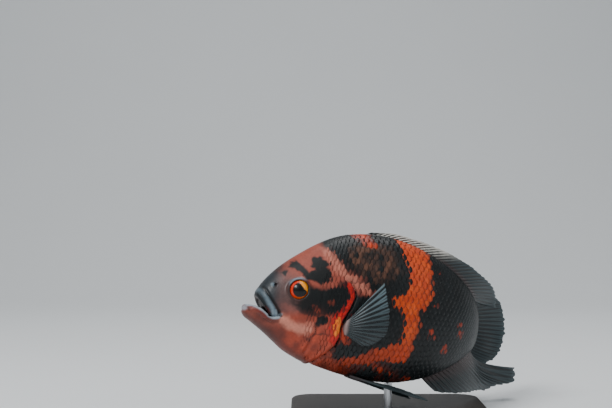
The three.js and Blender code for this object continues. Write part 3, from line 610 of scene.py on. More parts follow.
def mark_mouth(side):
    """Slate upper lip, red lower lip with a pale rim, painted highlights, and painted shade in the folds."""
    s, h = side.s, side.h
    side.lay(SLATE_DEEP, side.crisp([c[::2] for c in UPPER_LIP], 1.5, 1.1))
    # Painted highlight: a pale arc along the crest of the upper lip, brighter lower down.
    side.lay(SLATE_PALE, side.crisp(LIP_HIGHLIGHT_ARC, 1.3, 0) * (0.35 + 0.35 * smooth(1.5, -3, h)))
    for wisp in LIP_WISPS:
        side.lay(LIP, side.crisp(wisp, 0.5, 0) * 0.45)
    reddened = side.crisp(LIP_RIM, 1.9, 0.8) * smooth(-2.4, -1, s) * smooth(5.4, 3.4, s)
    side.lay(LIP_RED, reddened * 0.6)
    side.lay(LIP, side.crisp(LIP_RIM, 0.85, 0.15) * 0.9)
    # Painted highlight: a pale spot on the tip of the lower lip.
    side.lay(LIP, smooth(1.3, 0.3, np.hypot(s - LIP_TIP_HIGHLIGHT[0], h - LIP_TIP_HIGHLIGHT[1])) * 0.75)
    # Painted shadow in the notch between the lip's tip and the red lip.
    side.lay(INK, side.crisp(CHIN_NOTCH_SHADE, 0.5, 0.1) * 0.6)
    # Painted shade along the groove behind the upper lip.
    side.lay(INK, side.crisp(LIP_FOLD[1:], 0.55, 0.15) * 0.8)


def mark_nostril_and_eye(side):
    """Painted highlight ahead of the nostril, a dark ring round the eye and painted highlight on its rim."""
    # Painted highlight: a pale spot just ahead of the nostril.
    nostril = np.hypot(side.s - NOSTRIL_S / PERCENT + 0.9, side.h - NOSTRIL_H / PERCENT)
    side.lay(SLATE_PALE, smooth(0.9, 0.3, nostril) * 0.5)
    along, up = side.s - EYE_S / PERCENT, side.h - EYE_H / PERCENT
    outside = np.hypot(along, up) - EYE_RIM / PERCENT
    side.lay(INK, bell(outside - 0.3, 0.42) * 0.55)
    # Painted highlight: a pale crescent on the top of the eye's rim.
    rim_highlight = smooth(2.2, 4.2, up - 0.35 * along)
    side.lay(SLATE_PALE, bell(outside - 0.3, 0.32) * rim_highlight * 0.8)


def markings(s, h, left):
    """Colour of one side of the fish at s and h, in percent."""
    side = Livery(s, h, left)
    mark_body(side)
    mark_head(side)
    mark_gill_cover(side)
    mark_mouth(side)
    mark_nostril_and_eye(side)
    return np.clip(side.tint * (1 + 0.12 * side.grain[:, None]), 0, 1)


def hold(mesh, label, values):
    """Numbers, places or colours kept on each point of a mesh, for its material to read."""
    kinds = {1: ("FLOAT", "value"), 3: ("FLOAT_VECTOR", "vector"), 4: ("FLOAT_COLOR", "color")}
    kind, field = kinds[1 if values.ndim == 1 else values.shape[1]]
    mesh.attributes.new(label, kind, "POINT").data.foreach_set(field, values.astype(np.float32).ravel())


def paint(mesh, tint, straight):
    """A piece's colours, and its places on the straight fish, along which its textures lie."""
    hold(mesh, "tint", np.c_[np.clip(tint, 0, 1), np.ones(len(tint))])
    hold(mesh, "straight", straight * MM)


def piece(name, straight, faces, tint):
    """A mesh object from points of the straight fish, four-sided faces and a colour at each point."""
    mesh = bpy.data.meshes.new(name)
    faces = np.asarray(faces, np.int32)
    mesh.vertices.add(len(straight))
    mesh.vertices.foreach_set("co", placed(straight).astype(np.float32).ravel())
    mesh.loops.add(faces.size)
    mesh.loops.foreach_set("vertex_index", faces.ravel())
    mesh.polygons.add(len(faces))
    mesh.polygons.foreach_set("loop_start", np.arange(0, faces.size, 4, dtype=np.int32))
    mesh.polygons.foreach_set("loop_total", np.full(len(faces), 4, np.int32))
    mesh.polygons.foreach_set("use_smooth", np.ones(len(faces), bool))
    paint(mesh, tint, straight)
    mesh.update()
    mesh.validate()
    thing = bpy.data.objects.new(name, mesh)
    bpy.context.scene.collection.objects.link(thing)
    return thing


class Wire:
    """A socket of a material, on which Python's plus and times add Math nodes."""

    def __init__(self, finish, socket):
        self.finish = finish
        self.socket = socket

    def __add__(self, other):
        return self.finish.node("ShaderNodeMath", {"operation": "ADD"}, {0: self, 1: other})

    __radd__ = __add__

    def __mul__(self, other):
        return self.finish.node("ShaderNodeMath", {"operation": "MULTIPLY"}, {0: self, 1: other})

    __rmul__ = __mul__


class Finish:
    """A material and the one way in which its nodes are made."""

    def __init__(self, name, **uniform):
        self.material = bpy.data.materials.new(name)
        self.material.use_nodes = True
        self.tree = self.material.node_tree
        self.surface = self.tree.nodes["Principled BSDF"]
        for label, value in uniform.items():
            self.surface.inputs[label.replace("_", " ")].default_value = value

    def node(self, kind, settings, values, output=0):
        """A node from its type, its settings, and the values or links of its sockets."""
        made = self.tree.nodes.new(kind)
        for label, value in settings.items():
            if label == "stops":
                for element, (place, shade) in zip(made.color_ramp.elements, value):
                    element.position = place
                    element.color = (*shade, 1)
            else:
                setattr(made, label, value)
        for label, value in values.items():
            if isinstance(value, Wire):
                self.tree.links.new(value.socket, made.inputs[label])
            else:
                made.inputs[label].default_value = value
        return Wire(self, made.outputs[output])

    def attribute(self, name, output="Fac"):
        """What a piece's mesh holds under a name."""
        return self.node("ShaderNodeAttribute", {"attribute_name": name}, {}, output)

    def mixed(self, first, second, amount, blend="MIX"):
        """Two colours mixed by an amount."""
        values = {0: amount, 6: first, 7: second}
        return self.node("ShaderNodeMix", {"data_type": "RGBA", "blend_type": blend}, values, 2)

    def dimmed(self, tint, shade, amount):
        """A colour that is darker, by the shade, where the amount is low."""
        return self.mixed(self.mixed(tint, (*shade, 1), 1, "MULTIPLY"), tint, amount)

    def noise(self, place, scale, detail=3, rough=0.55):
        """A cloudy pattern from 0 to 1."""
        values = {"Vector": place, "Scale": scale, "Detail": detail, "Roughness": rough}
        return self.node("ShaderNodeTexNoise", {}, values)

    def stretched(self, scale):
        """Places on a piece, drawn closer together by the scale in each direction."""
        where = self.node("ShaderNodeTexCoord", {}, {}, "Object")
        return self.node("ShaderNodeMapping", {}, {"Vector": where, "Scale": scale})

    def bump(self, height, strength, distance):
        """Fine relief from a pattern."""
        values = {"Height": height, "Strength": strength, "Distance": distance}
        return self.node("ShaderNodeBump", {}, values)

    def set(self, label, wire):
        """A pattern led to one of the surface's own sockets."""
        self.tree.links.new(wire.socket, self.surface.inputs[label])

    def give(self, thing):
        """This finish on a piece, in place of any other."""
        thing.data.materials.clear()
        thing.data.materials.append(self.material)


wet_skin = Finish("wet_skin", Coat_Weight=0.12, Coat_Roughness=0.22, Specular_IOR_Level=0.3)
place = wet_skin.attribute("straight", "Vector")
tint = wet_skin.attribute("tint", "Color")
pores = wet_skin.noise(place, 900)
mottle = wet_skin.noise(place, 220, 4)
wet_skin.set("Base Color", wet_skin.dimmed(tint, (0.72, 0.74, 0.78), 0.25 + 1.3 * mottle))
wet_skin.set("Roughness", 0.34 + 0.3 * pores)
wet_skin.set("Normal", wet_skin.bump(pores + mottle * 0.8, 0.35, 0.0004))

skin_s, skin_h = skin_points[:, 0] / PERCENT, skin_points[:, 2] / PERCENT
on_left = (skin_points[:, 1] > 0)[:, None]
skin_tint = np.where(on_left, markings(skin_s, skin_h, True), markings(skin_s, skin_h, False))
# Painted shade: the inside of the mouth's hollow is laid dark, over its own flesh colour.
depth_in = flank(skin_points[:, 0], skin_points[:, 2]) - np.abs(skin_points[:, 1])
in_mouth = smooth(4.4, 6.4, depth_in) * smooth(13.5, 12, skin_s)
in_mouth = in_mouth * smooth(-9, -7.5, skin_h) * smooth(1.4, -0.2, skin_h)
skin_tint = over(skin_tint, MOUTH_FLESH_IN_SHADE, in_mouth)
skin = piece("skin", skin_points, skin_faces, skin_tint)
wet_skin.give(skin)
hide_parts("head", "lower_jaw", "trunk", "tail_stalk", "gill_cover_left", "gill_cover_right")
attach(skin, "root")


# The scales are thin horny plates in staggered rows from the back to the belly, under the same wet
# film as the skin. Each is a closed plate, rooted in the skin and lifted a little at its rear edge;
# on the nape, cheek and gill cover they are smaller and lie flatter.
ROWS = 27
FIRST_SCALE, LAST_SCALE = 15.5, 98.3
SCALE_PITCH = [(15, 2.2), (22, 2.6), (30, 3.4), (36, 4.1), (60, 4.1), (84, 3.2), (98, 2.5)]
SCALE_SIZE = [(20, 0.5), (34, 1), (80, 1), (98, 0.65)]
ROW_OVERLAP, PLATE_OVERLAP = 1.75, 1.28
ROOT_SINK, REAR_LIFT, SIDE_DROP, PLATE_CAMBER, PLATE_THICK = 0.3, 0.46, 0.14, 0.1, 0.22
PLATE_LONG, PLATE_WIDE = 5, 5
EYE_CLEAR = 6
FACE_EDGE = [(26.5, 40), (22.5, 23), (20.5, 17), (21.5, 11), (19.5, 6.5), (17.4, 3), (16, -1.5),
             (12.6, -3.5), (13.4, -8), (15.6, -12.5), (17.5, -18), (24, -40)]
STATIONS = np.linspace(2 * PERCENT, 99.5 * PERCENT, 160)
SHARES = np.linspace(0, 1, 97)


def girth_table():
    """Angle round the section for each share of the way from the back to the belly."""
    angle = np.linspace(np.pi / 2, -np.pi / 2, 241)
    top, bottom, width, middle = section(STATIONS)
    reach = np.where(angle[None] > 0, (top - middle)[:, None], (middle - bottom)[:, None])
    points = np.stack([width[:, None] * np.cos(angle), middle[:, None] + reach * np.sin(angle)], -1)
    lengths = np.hypot(*np.moveaxis(np.diff(points, axis=1), -1, 0))
    run = np.concatenate([np.zeros((len(STATIONS), 1)), np.cumsum(lengths, 1)], 1)
    table = np.array([np.interp(SHARES * r[-1], r, angle) for r in run])
    return table, run[:, -1]


GIRTH_ANGLES, GIRTHS = girth_table()


def on_skin(s, share):
    """A point of the left side at s and a share of the way from back to belly."""
    row = np.clip((s - STATIONS[0]) / (STATIONS[1] - STATIONS[0]), 0, len(STATIONS) - 1.001)
    column = np.clip(share, 0, 1) * (len(SHARES) - 1.001)
    i, j = row.astype(int), column.astype(int)
    u, v = row - i, column - j
    angle = ((GIRTH_ANGLES[i, j] * (1 - v) + GIRTH_ANGLES[i, j + 1] * v) * (1 - u)
             + (GIRTH_ANGLES[i + 1, j] * (1 - v) + GIRTH_ANGLES[i + 1, j + 1] * v) * u)
    top, bottom, width, middle = section(s)
    reach = np.where(angle > 0, top - middle, middle - bottom)
    h = middle + reach * np.sin(angle)
    point = np.stack([s, width * np.cos(angle), h], -1)
    normal = np.stack([np.zeros_like(s), np.cos(angle) / width, np.sin(angle) / reach], -1)
    normal /= np.linalg.norm(normal, axis=-1, keepdims=True)
    return point - normal * sunk(s, h)[..., None], normal


def scale_roots(left):
    """Roots, lengths and widths of the scales of one side, row by row."""
    rng = np.random.default_rng(3 if left else 4)
    found = []
    for row in range(ROWS):
        s = FIRST_SCALE * PERCENT
        while s < LAST_SCALE * PERCENT:
            pitch = float(np.interp(s / PERCENT, *zip(*SCALE_PITCH)))
            root = s + (0.5 * pitch if row % 2 else 0) + rng.uniform(-0.18, 0.18)
            share = (row + 0.5) / ROWS + rng.uniform(-0.05, 0.05) / ROWS
            width = ROW_OVERLAP * float(np.interp(root, STATIONS, GIRTHS)) / ROWS
            found.append((root, share, pitch, width))
            s += pitch
    return np.array(found)


def behind_face(s, h):
    """Distance in percent behind the edge of the bare face, negative on the face."""
    edge = np.array(FACE_EDGE[::-1])
    return s - np.interp(h, edge[:, 1], edge[:, 0])


def kept(roots):
    """Only scales that lie behind the face, clear of the gill slit and of the cover's crease."""
    point, _ = on_skin(roots[:, 0], roots[:, 1])
    s, h = point[:, 0] / PERCENT, point[:, 2] / PERCENT
    reach = roots[:, 2] / PERCENT
    slit = behind_opening(s, h)
    clear = (slit > 0.1) | (slit < -1.15 * reach - 0.4) | (h > 9)
    crease = line_distance(COVER_FRONT, s, h)[0]
    clear &= (crease > 0.9) | (s > 21.6)
    clear &= ~((crease < reach + 0.3) & (s < 20.4) & (h < 6))
    clear &= np.hypot(s - EYE_S / PERCENT, h - EYE_H / PERCENT) > EYE_CLEAR
    return clear & (behind_face(s, h) > 0)


def each(values):
    """One value for each scale, set against the grid of points of a plate."""
    return values[:, None, None]


def plate_faces(count, left):
    """Faces of closed plates whose outer and then inner points follow one another."""
    flat = PLATE_LONG * PLATE_WIDE
    grid = np.arange(flat).reshape(PLATE_LONG, PLATE_WIDE)
    top = np.stack([grid[:-1, :-1], grid[1:, :-1], grid[1:, 1:], grid[:-1, 1:]], -1).reshape(-1, 4)
    ring = np.concatenate([grid[0, :-1], grid[:-1, -1], grid[-1, :0:-1], grid[:0:-1, 0]])
    after = np.roll(ring, -1)
    walls = np.stack([ring, after, after + flat, ring + flat], -1)
    one = np.concatenate([top, top[:, ::-1] + flat, walls])
    if not left:
        one = one[:, ::-1]
    return (one[None] + each(np.arange(count) * 2 * flat)).reshape(-1, 4)


def scale_coat(name, left):
    """All scales of one side as a joined mesh of closed plates."""
    roots = scale_roots(left)
    roots = roots[kept(roots)]
    count = len(roots)
    at, share_at, pitch, breadth = roots.T
    rng = np.random.default_rng(11 if left else 12)
    x = np.linspace(-0.35, 1, PLATE_LONG)[:, None]
    y = np.linspace(-1, 1, PLATE_WIDE)[None]
    xs = np.where(x > 0, x * (1 - 0.34 * np.abs(y) ** 2.2), x)
    ys = y * (1 - 0.22 * smooth(0.45, 1, x)) * (1 - 0.15 * smooth(0.1, -0.35, x))
    size = each(rng.uniform(0.94, 1.06, count) * PLATE_OVERLAP)
    s = each(at) + xs * each(pitch) * size
    girth = each(np.interp(at, STATIONS, GIRTHS))
    share = each(share_at) + ys * each(breadth) / 2 / girth * size / PLATE_OVERLAP
    point, normal = on_skin(s, np.clip(share, 0.0015, 0.9985))
    root_point, _ = on_skin(at, share_at)
    settled = smooth(-0.5, 6, behind_face(at / PERCENT, root_point[:, 2] / PERCENT))
    small = each(np.interp(at / PERCENT, *zip(*SCALE_SIZE)) * (0.3 + 0.7 * settled))
    tilt = each(rng.uniform(0.85, 1.2, count))
    camber = PLATE_CAMBER * (1 - y * y) * (1 - x * x)
    lift = -ROOT_SINK + REAR_LIFT * np.clip(x, 0, 1) * tilt - SIDE_DROP * y * y + camber
    outer = point + normal * (lift * small)[..., None]
    inner = point + normal * (lift * small - PLATE_THICK * small)[..., None]
    mirror = np.array([1, 1 if left else -1, 1])
    points = (np.stack([outer, inner], 1) * mirror).reshape(-1, 3)
    faces = plate_faces(count, left)
    middle, _ = on_skin(at + 0.3 * pitch, share_at)
    tone = markings(middle[:, 0] / PERCENT, middle[:, 2] / PERCENT, left)
    tone = np.clip(tone * rng.uniform(0.88, 1.12, (count, 1)), 0, 1)
    edge_fade = 1 - 0.28 * smooth(0.55, 1, x) - 0.08 * y * y
    shine = 1 + 0.22 * (smooth(0.1, 0.55, x) * (1 - smooth(0.55, 0.9, x)) * (1 - y * y))
    shading = np.tile((edge_fade * shine).ravel(), 2) - 1
    strength = (0.25 + 0.75 * settled)[:, None]
    tint = tone[:, None, :] * (1 + shading * strength)[..., None]
    coat = piece(name, points, faces, tint.reshape(-1, 3))
    home = np.stack([at / LENGTH * 0.46 + (0.01 if left else 0.51), share_at * 0.96 + 0.02], -1)
    local = np.stack([np.tile(xs.ravel(), 2), np.tile(ys.ravel(), 2)], -1)
    patch = (home[:, None, :] + local[None] * 0.0015).reshape(-1, 2)
    unwrap = coat.data.uv_layers.new(name="OFBake")
    unwrap.data.foreach_set("uv", patch[faces.ravel()].astype(np.float32).ravel())
    return coat


plates = Finish("scale_plates", Coat_Weight=0.12, Coat_Roughness=0.2, Specular_IOR_Level=0.32)
place = plates.attribute("straight", "Vector")
tint = plates.attribute("tint", "Color")
rings = plates.noise(place, 1400, 2)
patchy = plates.noise(place, 260)
plates.set("Base Color", plates.dimmed(tint, (0.6, 0.62, 0.66), 0.1 + 1.5 * patchy))
plates.set("Roughness", 0.3 + 0.3 * rings)
plates.set("Normal", plates.bump(rings, 0.25, 0.0003))
for name, left in (("scales_left", True), ("scales_right", False)):
    coat = scale_coat(name, left)
    plates.give(coat)
    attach(coat, "root")


# Each eyeball is a wet, glossy ball that sits in the raised rim of its socket. Its clear lens stands
# a little out of a sunken ring of iris, orange with a paler front. A round ball is set with its pole
# outwards and then shaped and coloured ring by ring from that pole.
PUPIL_EDGE, IRIS_EDGE = math.radians(41), math.radians(59)
LENS_RISE, IRIS_SINK = 0.35, 0.32
GLINT_AT, FRONT_AT = math.radians(48), math.radians(-15)
IRIS_DEEP, IRIS_PALE, PUPIL = colour("d92a0a"), colour("ffa020"), colour("060708")
wet_eye = Finish("eye", Coat_Weight=0.6, Coat_Roughness=0.03, Coat_IOR=1.35, Roughness=0.4,
                 Specular_IOR_Level=0.2)
tint = wet_eye.attribute("tint", "Color")
threads = wet_eye.noise(wet_eye.attribute("straight", "Vector"), 1500)
wet_eye.set("Base Color", wet_eye.dimmed(tint, (0.55, 0.5, 0.5), 0.3 + 1.2 * threads))


def eyeball(name, side):
    """A ball whose pole looks outwards, shaped and coloured ring by ring from that pole."""
    bpy.ops.mesh.primitive_uv_sphere_add(segments=96, ring_count=64, radius=1)
    ball = bpy.context.object
    ball.name = name
    ball.data.name = name
    bpy.ops.object.shade_smooth()
    unit = np.empty(len(ball.data.vertices) * 3)
    ball.data.vertices.foreach_get("co", unit)
    x, y, z = unit.reshape(-1, 3).T
    polar = np.arccos(np.clip(z, -1, 1))
    clock = np.arctan2(y, x)
    iris = smooth(PUPIL_EDGE - 0.03, PUPIL_EDGE + 0.04, polar)
    iris = iris * smooth(IRIS_EDGE + 0.12, IRIS_EDGE - 0.1, polar)
    radius = EYE_RADIUS + LENS_RISE * smooth(PUPIL_EDGE, 0, polar) - IRIS_SINK * iris
    out = side * (EYE_OUT + radius * z)
    points = np.stack([EYE_S + radius * x, out, EYE_H + radius * y], -1)
    ball.data.vertices.foreach_set("co", placed(points).ravel())
    bpy.ops.object.mode_set(mode="EDIT")
    bpy.ops.mesh.select_all(action="SELECT")
    bpy.ops.mesh.normals_make_consistent(inside=False)
    bpy.ops.object.mode_set(mode="OBJECT")
    streaks = noise(clock * 9, polar * 2.2, 0.35, 21)
    glint = smooth(0.45, 0.9, np.cos(clock - GLINT_AT) + 0.06 * streaks)
    fore = smooth(-0.7, 0.5, np.cos(clock - FRONT_AT))
    pale = np.clip(glint + 0.3 * fore + 0.12 * streaks, 0, 1)
    inner = PUPIL_EDGE - math.radians(5) * fore - math.radians(19) * glint
    coloured = smooth(-0.03, 0.04, polar - inner) * smooth(IRIS_EDGE + 0.04, IRIS_EDGE - 0.04, polar)
    paint(ball.data, over(PUPIL, over(IRIS_DEEP, IRIS_PALE, pale), coloured), points)
    return ball


for word, side in (("left", 1), ("right", -1)):
    ball = eyeball("eyeball_" + word, side)
    wet_eye.give(ball)
    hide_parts("eye_" + word)
    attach(ball, "root")


# The fins are webs of thin skin between bony rays that stand in the flesh. A soft ray forks towards
# its tip, and the web's edge draws in between the tips. Both faces are modelled, with the rays
# raised in them, and one function makes them all from where each ray's points lie.
FIN_ROWS = 26
FORK_START, FORK_SPREAD, RAY_HALF = 0.55, 0.2, 0.2
FIN_WEB, FIN_RAY, FIN_DARK = colour("101b1f"), colour("465a5f"), colour("070c0e")
FIN_PINK, SPINE = colour("553330"), colour("e6e2d8")
PALE_ROOT, FIN_FROST = colour("c9a9a0"), colour("8fa9b2")

# Roots and lengths are in percent, girth and web are thicknesses in mm at the root and the tip, and
# the other lists give degrees from the first ray to the last.
DORSAL = {
    "rays": 33, "across": 10, "girth": (2.2, 0.5), "web": (0.8, 0.3), "notch": 0.955, "pad": 0,
    "root": (37.5, 91.5),
    "length": [(0, 1.5), (0.1, 3), (0.3, 6), (0.46, 8.5), (0.6, 10), (0.75, 12.8), (0.88, 17), (1, 18)],
    "lean": [(0, 30), (0.3, 28), (0.5, 34), (0.62, 38), (0.8, 36), (0.92, 24), (1, 8)],
    "aside": [(0, 0), (0.4, 4), (0.55, 18), (0.75, 48), (0.9, 70), (1, 84)],
}
ANAL = {
    "rays": 18, "across": 10, "girth": (2.2, 0.5), "web": (0.8, 0.3), "notch": 0.955, "pad": 0,
    "root": (63, 91),
    "length": [(0, 7), (0.15, 12), (0.4, 20), (0.7, 33), (0.88, 38), (1, 31)],
    "lean": [(0, 58), (0.3, 52), (0.7, 46), (0.9, 37), (1, 26)],
    "aside": [(0, 0), (0.4, 14), (0.7, 54), (1, 104)],
}
CAUDAL = {
    "rays": 21, "across": 10, "girth": (2, 0.5), "web": (0.9, 0.3), "notch": 0.975, "pad": 0,
    "length": [(0, 12), (0.1, 17), (0.25, 24), (0.5, 28.5), (0.8, 24.5), (1, 15)],
    "spread": math.radians(19),
    "aside": 98,
}
PECTORAL = {
    "rays": 13, "across": 10, "girth": (1.5, 0.45), "web": (0.8, 0.3), "notch": 0.975, "pad": 2,
    "root_s": 30,
    "root_h": (-5.6, -9.2),
    "length": [(0, 18.5), (0.2, 16.5), (0.4, 15.5), (0.6, 14.5), (0.8, 11.5), (1, 7)],
    "up": [(0, 52), (0.5, 12), (1, -30)],
    "out": math.radians(34),
}
PELVIC = {
    "rays": 6, "across": 14, "girth": (1.9, 0.5), "web": (0.9, 0.3), "notch": 0.96, "pad": 0,
    "root_s": (35.5, 39),
    "root_l": (3.1, 1.7),
    "length": [(0, 22), (0.2, 27), (0.6, 20), (1, 12)],
    "down": [(0, 13), (1, 5)],
    "out": [(0, 16), (1, 5)],
}


def between(ends, share):
    """The value at a share of the way from one end to the other."""
    return ends[0] + (ends[1] - ends[0]) * share


def ridge(s, l, side):
    """Height of the back (side 1) or the belly (side -1) at s and l."""
    top, bottom, width, middle = section(s)
    edge = top if side > 0 else bottom
    return middle + (edge - middle) * np.sqrt(np.clip(1 - (l / width) ** 2, 0, 1))


def curl(length, degrees, v):
    """How far on and how far aside a ray has gone that starts straight and curls evenly."""
    angle = np.maximum(np.radians(degrees), 1e-3)
    return length * np.sin(angle * v) / angle, length * (1 - np.cos(angle * v)) / angle


def fin(name, size, place_at, tones, seed=1):
    """A fin from a function of u, the ray, and v, how far along it; tones gives its colours."""
    rays, rows = size["rays"], FIN_ROWS
    columns = (rays - 1) * size["across"] + 1
    u = np.linspace(0, 1, columns)[:, None]
    v = np.linspace(-0.02, 1, rows)[None]
    position = u * (rays - 1)
    phase = position - np.round(position)
    rng = np.random.default_rng(seed)
    ragged = rng.uniform(-0.03, 0.01, rays)[np.round(position).astype(int)]
    split = FORK_SPREAD * smooth(FORK_START, 1, v)
    nearest = np.minimum(np.abs(phase - split), np.abs(phase + split))
    profile = np.clip(1 - (nearest / RAY_HALF) ** 2, 0, 1)
    hollow = (1 - size["notch"]) * (2 * np.abs(phase)) ** 1.6
    tip = 1 - hollow + ragged * (1 - 2 * np.abs(phase))
    centre = place_at(u + 0 * v, v * tip)
    normal = np.cross(np.gradient(centre, axis=0), np.gradient(centre, axis=1))
    normal /= np.linalg.norm(normal, axis=-1, keepdims=True) + 1e-12
    span = np.clip(v, 0, 1)
    joints = 1 + 0.1 * np.sin(span * rows * 2.4) * profile
    thick = between(size["web"], span) * (1 - profile)
    thick = thick + between(size["girth"], span) * profile * joints
    padded = np.sin(np.pi * np.clip(0.08 + 0.84 * u, 0, 1)) ** 0.7
    thick = thick + size["pad"] * smooth(0.17, 0, v) * padded
    front = centre + normal * (thick / 2)[..., None]
    back = centre - normal * (thick / 2)[..., None]
    points = np.concatenate([front.reshape(-1, 3), back.reshape(-1, 3)])
    grid = np.arange(columns * rows).reshape(columns, rows)
    facing = np.stack([grid[:-1, :-1], grid[1:, :-1], grid[1:, 1:], grid[:-1, 1:]], -1).reshape(-1, 4)
    turned_over = facing[:, ::-1] + columns * rows
    ring = np.concatenate([grid[:-1, 0], grid[-1, :-1], grid[:0:-1, -1], grid[0, :0:-1]])
    after = np.roll(ring, -1)
    walls = np.stack([after, ring, ring + columns * rows, after + columns * rows], -1)
    faces = np.concatenate([facing, turned_over, walls])
    bar = np.clip(1.25 - (nearest / 0.36) ** 2, 0, 1)
    tone, sheer = tones(u + 0 * v, span + 0 * u, profile, bar)
    blades = piece(name, points, faces, np.concatenate([tone.reshape(-1, 3)] * 2))
    hold(blades.data, "solid", np.concatenate([sheer.ravel()] * 2))
    return blades


def midline_fin(size, side):
    """Places on a fin that stands on the back (side 1) or the belly (side -1)."""
    def place_at(u, v):
        s = between(size["root"], u) * PERCENT
        slope = np.arctan2(ridge(s + 0.6, 0, side) - ridge(s - 0.6, 0, side), 1.2)
        lean = side * np.radians(through(size["lean"], u)) + slope
        on, aside = curl(through(size["length"], u) * PERCENT, through(size["aside"], u), v)
        way = lean * (1 - 0.12 * v)
        return np.stack([s + on * np.cos(way), aside + 0 * s, ridge(s, 0, side) + on * np.sin(way)], -1)
    return place_at


def caudal_place(u, v):
    """Places on the tail fin, which fans out from the end of the tail stalk."""
    top, bottom, _, _ = section(LENGTH)
    length = through(CAUDAL["length"], u) * PERCENT
    fan = CAUDAL["spread"] * (2 * u - 1)
    on, aside = curl(length, CAUDAL["aside"], v)
    h = bottom + 0.4 + (top - bottom - 0.8) * u
    return np.stack([LENGTH - 0.4 + on * np.cos(fan), aside, h + length * v * np.sin(fan)], -1)


def pectoral(side):
    """Places on a pectoral fin, which stands out from the shoulder behind the gill cover."""
    def place_at(u, v):
        h = between(PECTORAL["root_h"], u) * PERCENT
        s = PECTORAL["root_s"] * PERCENT - 1.2 * np.sin(np.pi * u)
        reach = through(PECTORAL["length"], u) * PERCENT * v
        up = np.radians(through(PECTORAL["up"], u))
        out = PECTORAL["out"] * (1 - 0.55 * v)
        level = reach * np.cos(up)
        seated = 2.2 * smooth(0.07, -0.02, v)
        stand = flank(s, h) - SHOULDER_STEP + level * np.sin(out) - seated
        return np.stack([s + level * np.cos(out), side * stand, h + reach * np.sin(up)], -1)
    return place_at


def pelvic(side):
    """Places on a pelvic fin, which lies back along the belly."""
    def place_at(u, v):
        s = between(PELVIC["root_s"], u) * PERCENT
        l = between(PELVIC["root_l"], u) * PERCENT
        reach = through(PELVIC["length"], u) * PERCENT * v
        down = np.radians(through(PELVIC["down"], u))
        out = np.radians(through(PELVIC["out"], u)) * (1 - 0.5 * v)
        level = reach * np.cos(down)
        h = ridge(s, l, -1) - reach * np.sin(down)
        return np.stack([s + level * np.cos(out), side * (l + level * np.sin(out)), h], -1)
    return place_at


def dorsal_tones(u, v, profile, bar):
    """Pale spines in a dark front half, and slate rays with a pink root behind."""
    rear = smooth(0.4, 0.58, u)
    patchy = 0.5 + 0.5 * noise(u * 40 + v * 6, v * 2, 0.9, 5)
    tone = over(FIN_DARK, FIN_WEB, rear * (0.4 + 0.6 * v))
    tone = over(tone, SPINE, bar * (1 - rear) * smooth(0.02, 0.12, u) * (0.6 + 0.4 * patchy))
    tone = over(tone, FIN_RAY, profile * rear * 0.6)
    tone = over(tone, FIN_RAY, rear * smooth(0.9, 1, v) * 0.5)
    return over(tone, FIN_PINK, rear * smooth(0.35, 0.1, v) * 0.4), np.ones_like(u)


def rear_tones(u, v, profile, bar):
    """Slate rays in a dark web, with a pink root and a paler edge."""
    tone = over(FIN_DARK, FIN_WEB, 0.3 + 0.7 * v)
    tone = over(tone, FIN_RAY, profile * (0.3 + 0.3 * v))
    tone = over(tone, FIN_RAY, smooth(0.93, 1, v) * 0.4)
    return over(tone, FIN_PINK, smooth(0.4, 0.1, v) * 0.35), np.ones_like(u)


def pectoral_tones(u, v, profile, bar):
    """Frosted upper rays, a pale, fleshy root, and a web that light passes through a little."""
    tone = over(FIN_WEB, FIN_DARK, smooth(0.2, 1, v) * 0.5)
    tone = over(tone, FIN_RAY, profile * (0.48 - 0.16 * v))
    tone = over(tone, FIN_FROST, profile * smooth(0.55, 0.05, u) * (0.18 + 0.25 * v))
    tone = over(tone, PALE_ROOT, smooth(0.13, 0.05, v) * 0.65)
    tone = over(tone, LIVER, smooth(0.08, 0.02, v) * 0.7)
    return tone, 0.86 + 0.14 * np.maximum(profile, smooth(0.3, 0, v))


webbing = Finish("fin_web", Coat_Weight=0.2, Coat_Roughness=0.25, Specular_IOR_Level=0.5)
place = webbing.attribute("straight", "Vector")
tint = webbing.attribute("tint", "Color")
fibres = webbing.noise(place, 700)
webbing.set("Base Color", webbing.dimmed(tint, (0.6, 0.62, 0.66), 0.2 + 1.3 * fibres))
webbing.set("Roughness", 0.35 + 0.25 * fibres)
webbing.set("Alpha", webbing.attribute("solid"))
webbing.set("Normal", webbing.bump(fibres, 0.2, 0.0003))

fins = {}
fins["dorsal_fin"] = fin("dorsal_rays", DORSAL, midline_fin(DORSAL, 1), dorsal_tones)
fins["anal_fin"] = fin("anal_rays", ANAL, midline_fin(ANAL, -1), rear_tones)
fins["caudal_fin"] = fin("caudal_rays", CAUDAL, caudal_place, rear_tones)
for word, side in (("left", 1), ("right", -1)):
    fins["pectoral_fin_" + word] = fin("pectoral_rays_" + word, PECTORAL, pectoral(side),
                                       pectoral_tones, seed=5 + side)
    fins["pelvic_fin_" + word] = fin("pelvic_rays_" + word, PELVIC, pelvic(side), rear_tones,
                                     seed=8 + side)
for node, blades in fins.items():
    webbing.give(blades)
    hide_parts(node)
    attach(blades, "root")


# The stand's base is a flat board of oak, stained black, under a satin lacquer. It is the solid
# itself, with the grain along its length.
STAIN_STOPS = [(0.3, (0.012, 0.010, 0.009)), (0.7, (0.045, 0.036, 0.030))]
STAIN_PORES = (0.02, 0.017, 0.015, 1)
oak = Finish("stained_oak", Coat_Weight=0.1, Coat_Roughness=0.3, Specular_IOR_Level=0.3)
along_board = oak.stretched((1, 9, 9))
grain = oak.noise(along_board, 38, 6, 0.6)
fine = oak.noise(along_board, 260, 4, 0.6)
stain = oak.node("ShaderNodeValToRGB", {"stops": STAIN_STOPS}, {"Fac": grain})
oak.set("Base Color", oak.mixed(stain, STAIN_PORES, fine))
oak.set("Roughness", 0.5 + 0.2 * fine)
oak.set("Normal", oak.bump(grain + fine, 0.25, 0.0004))
oak.give(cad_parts["stand_base"])


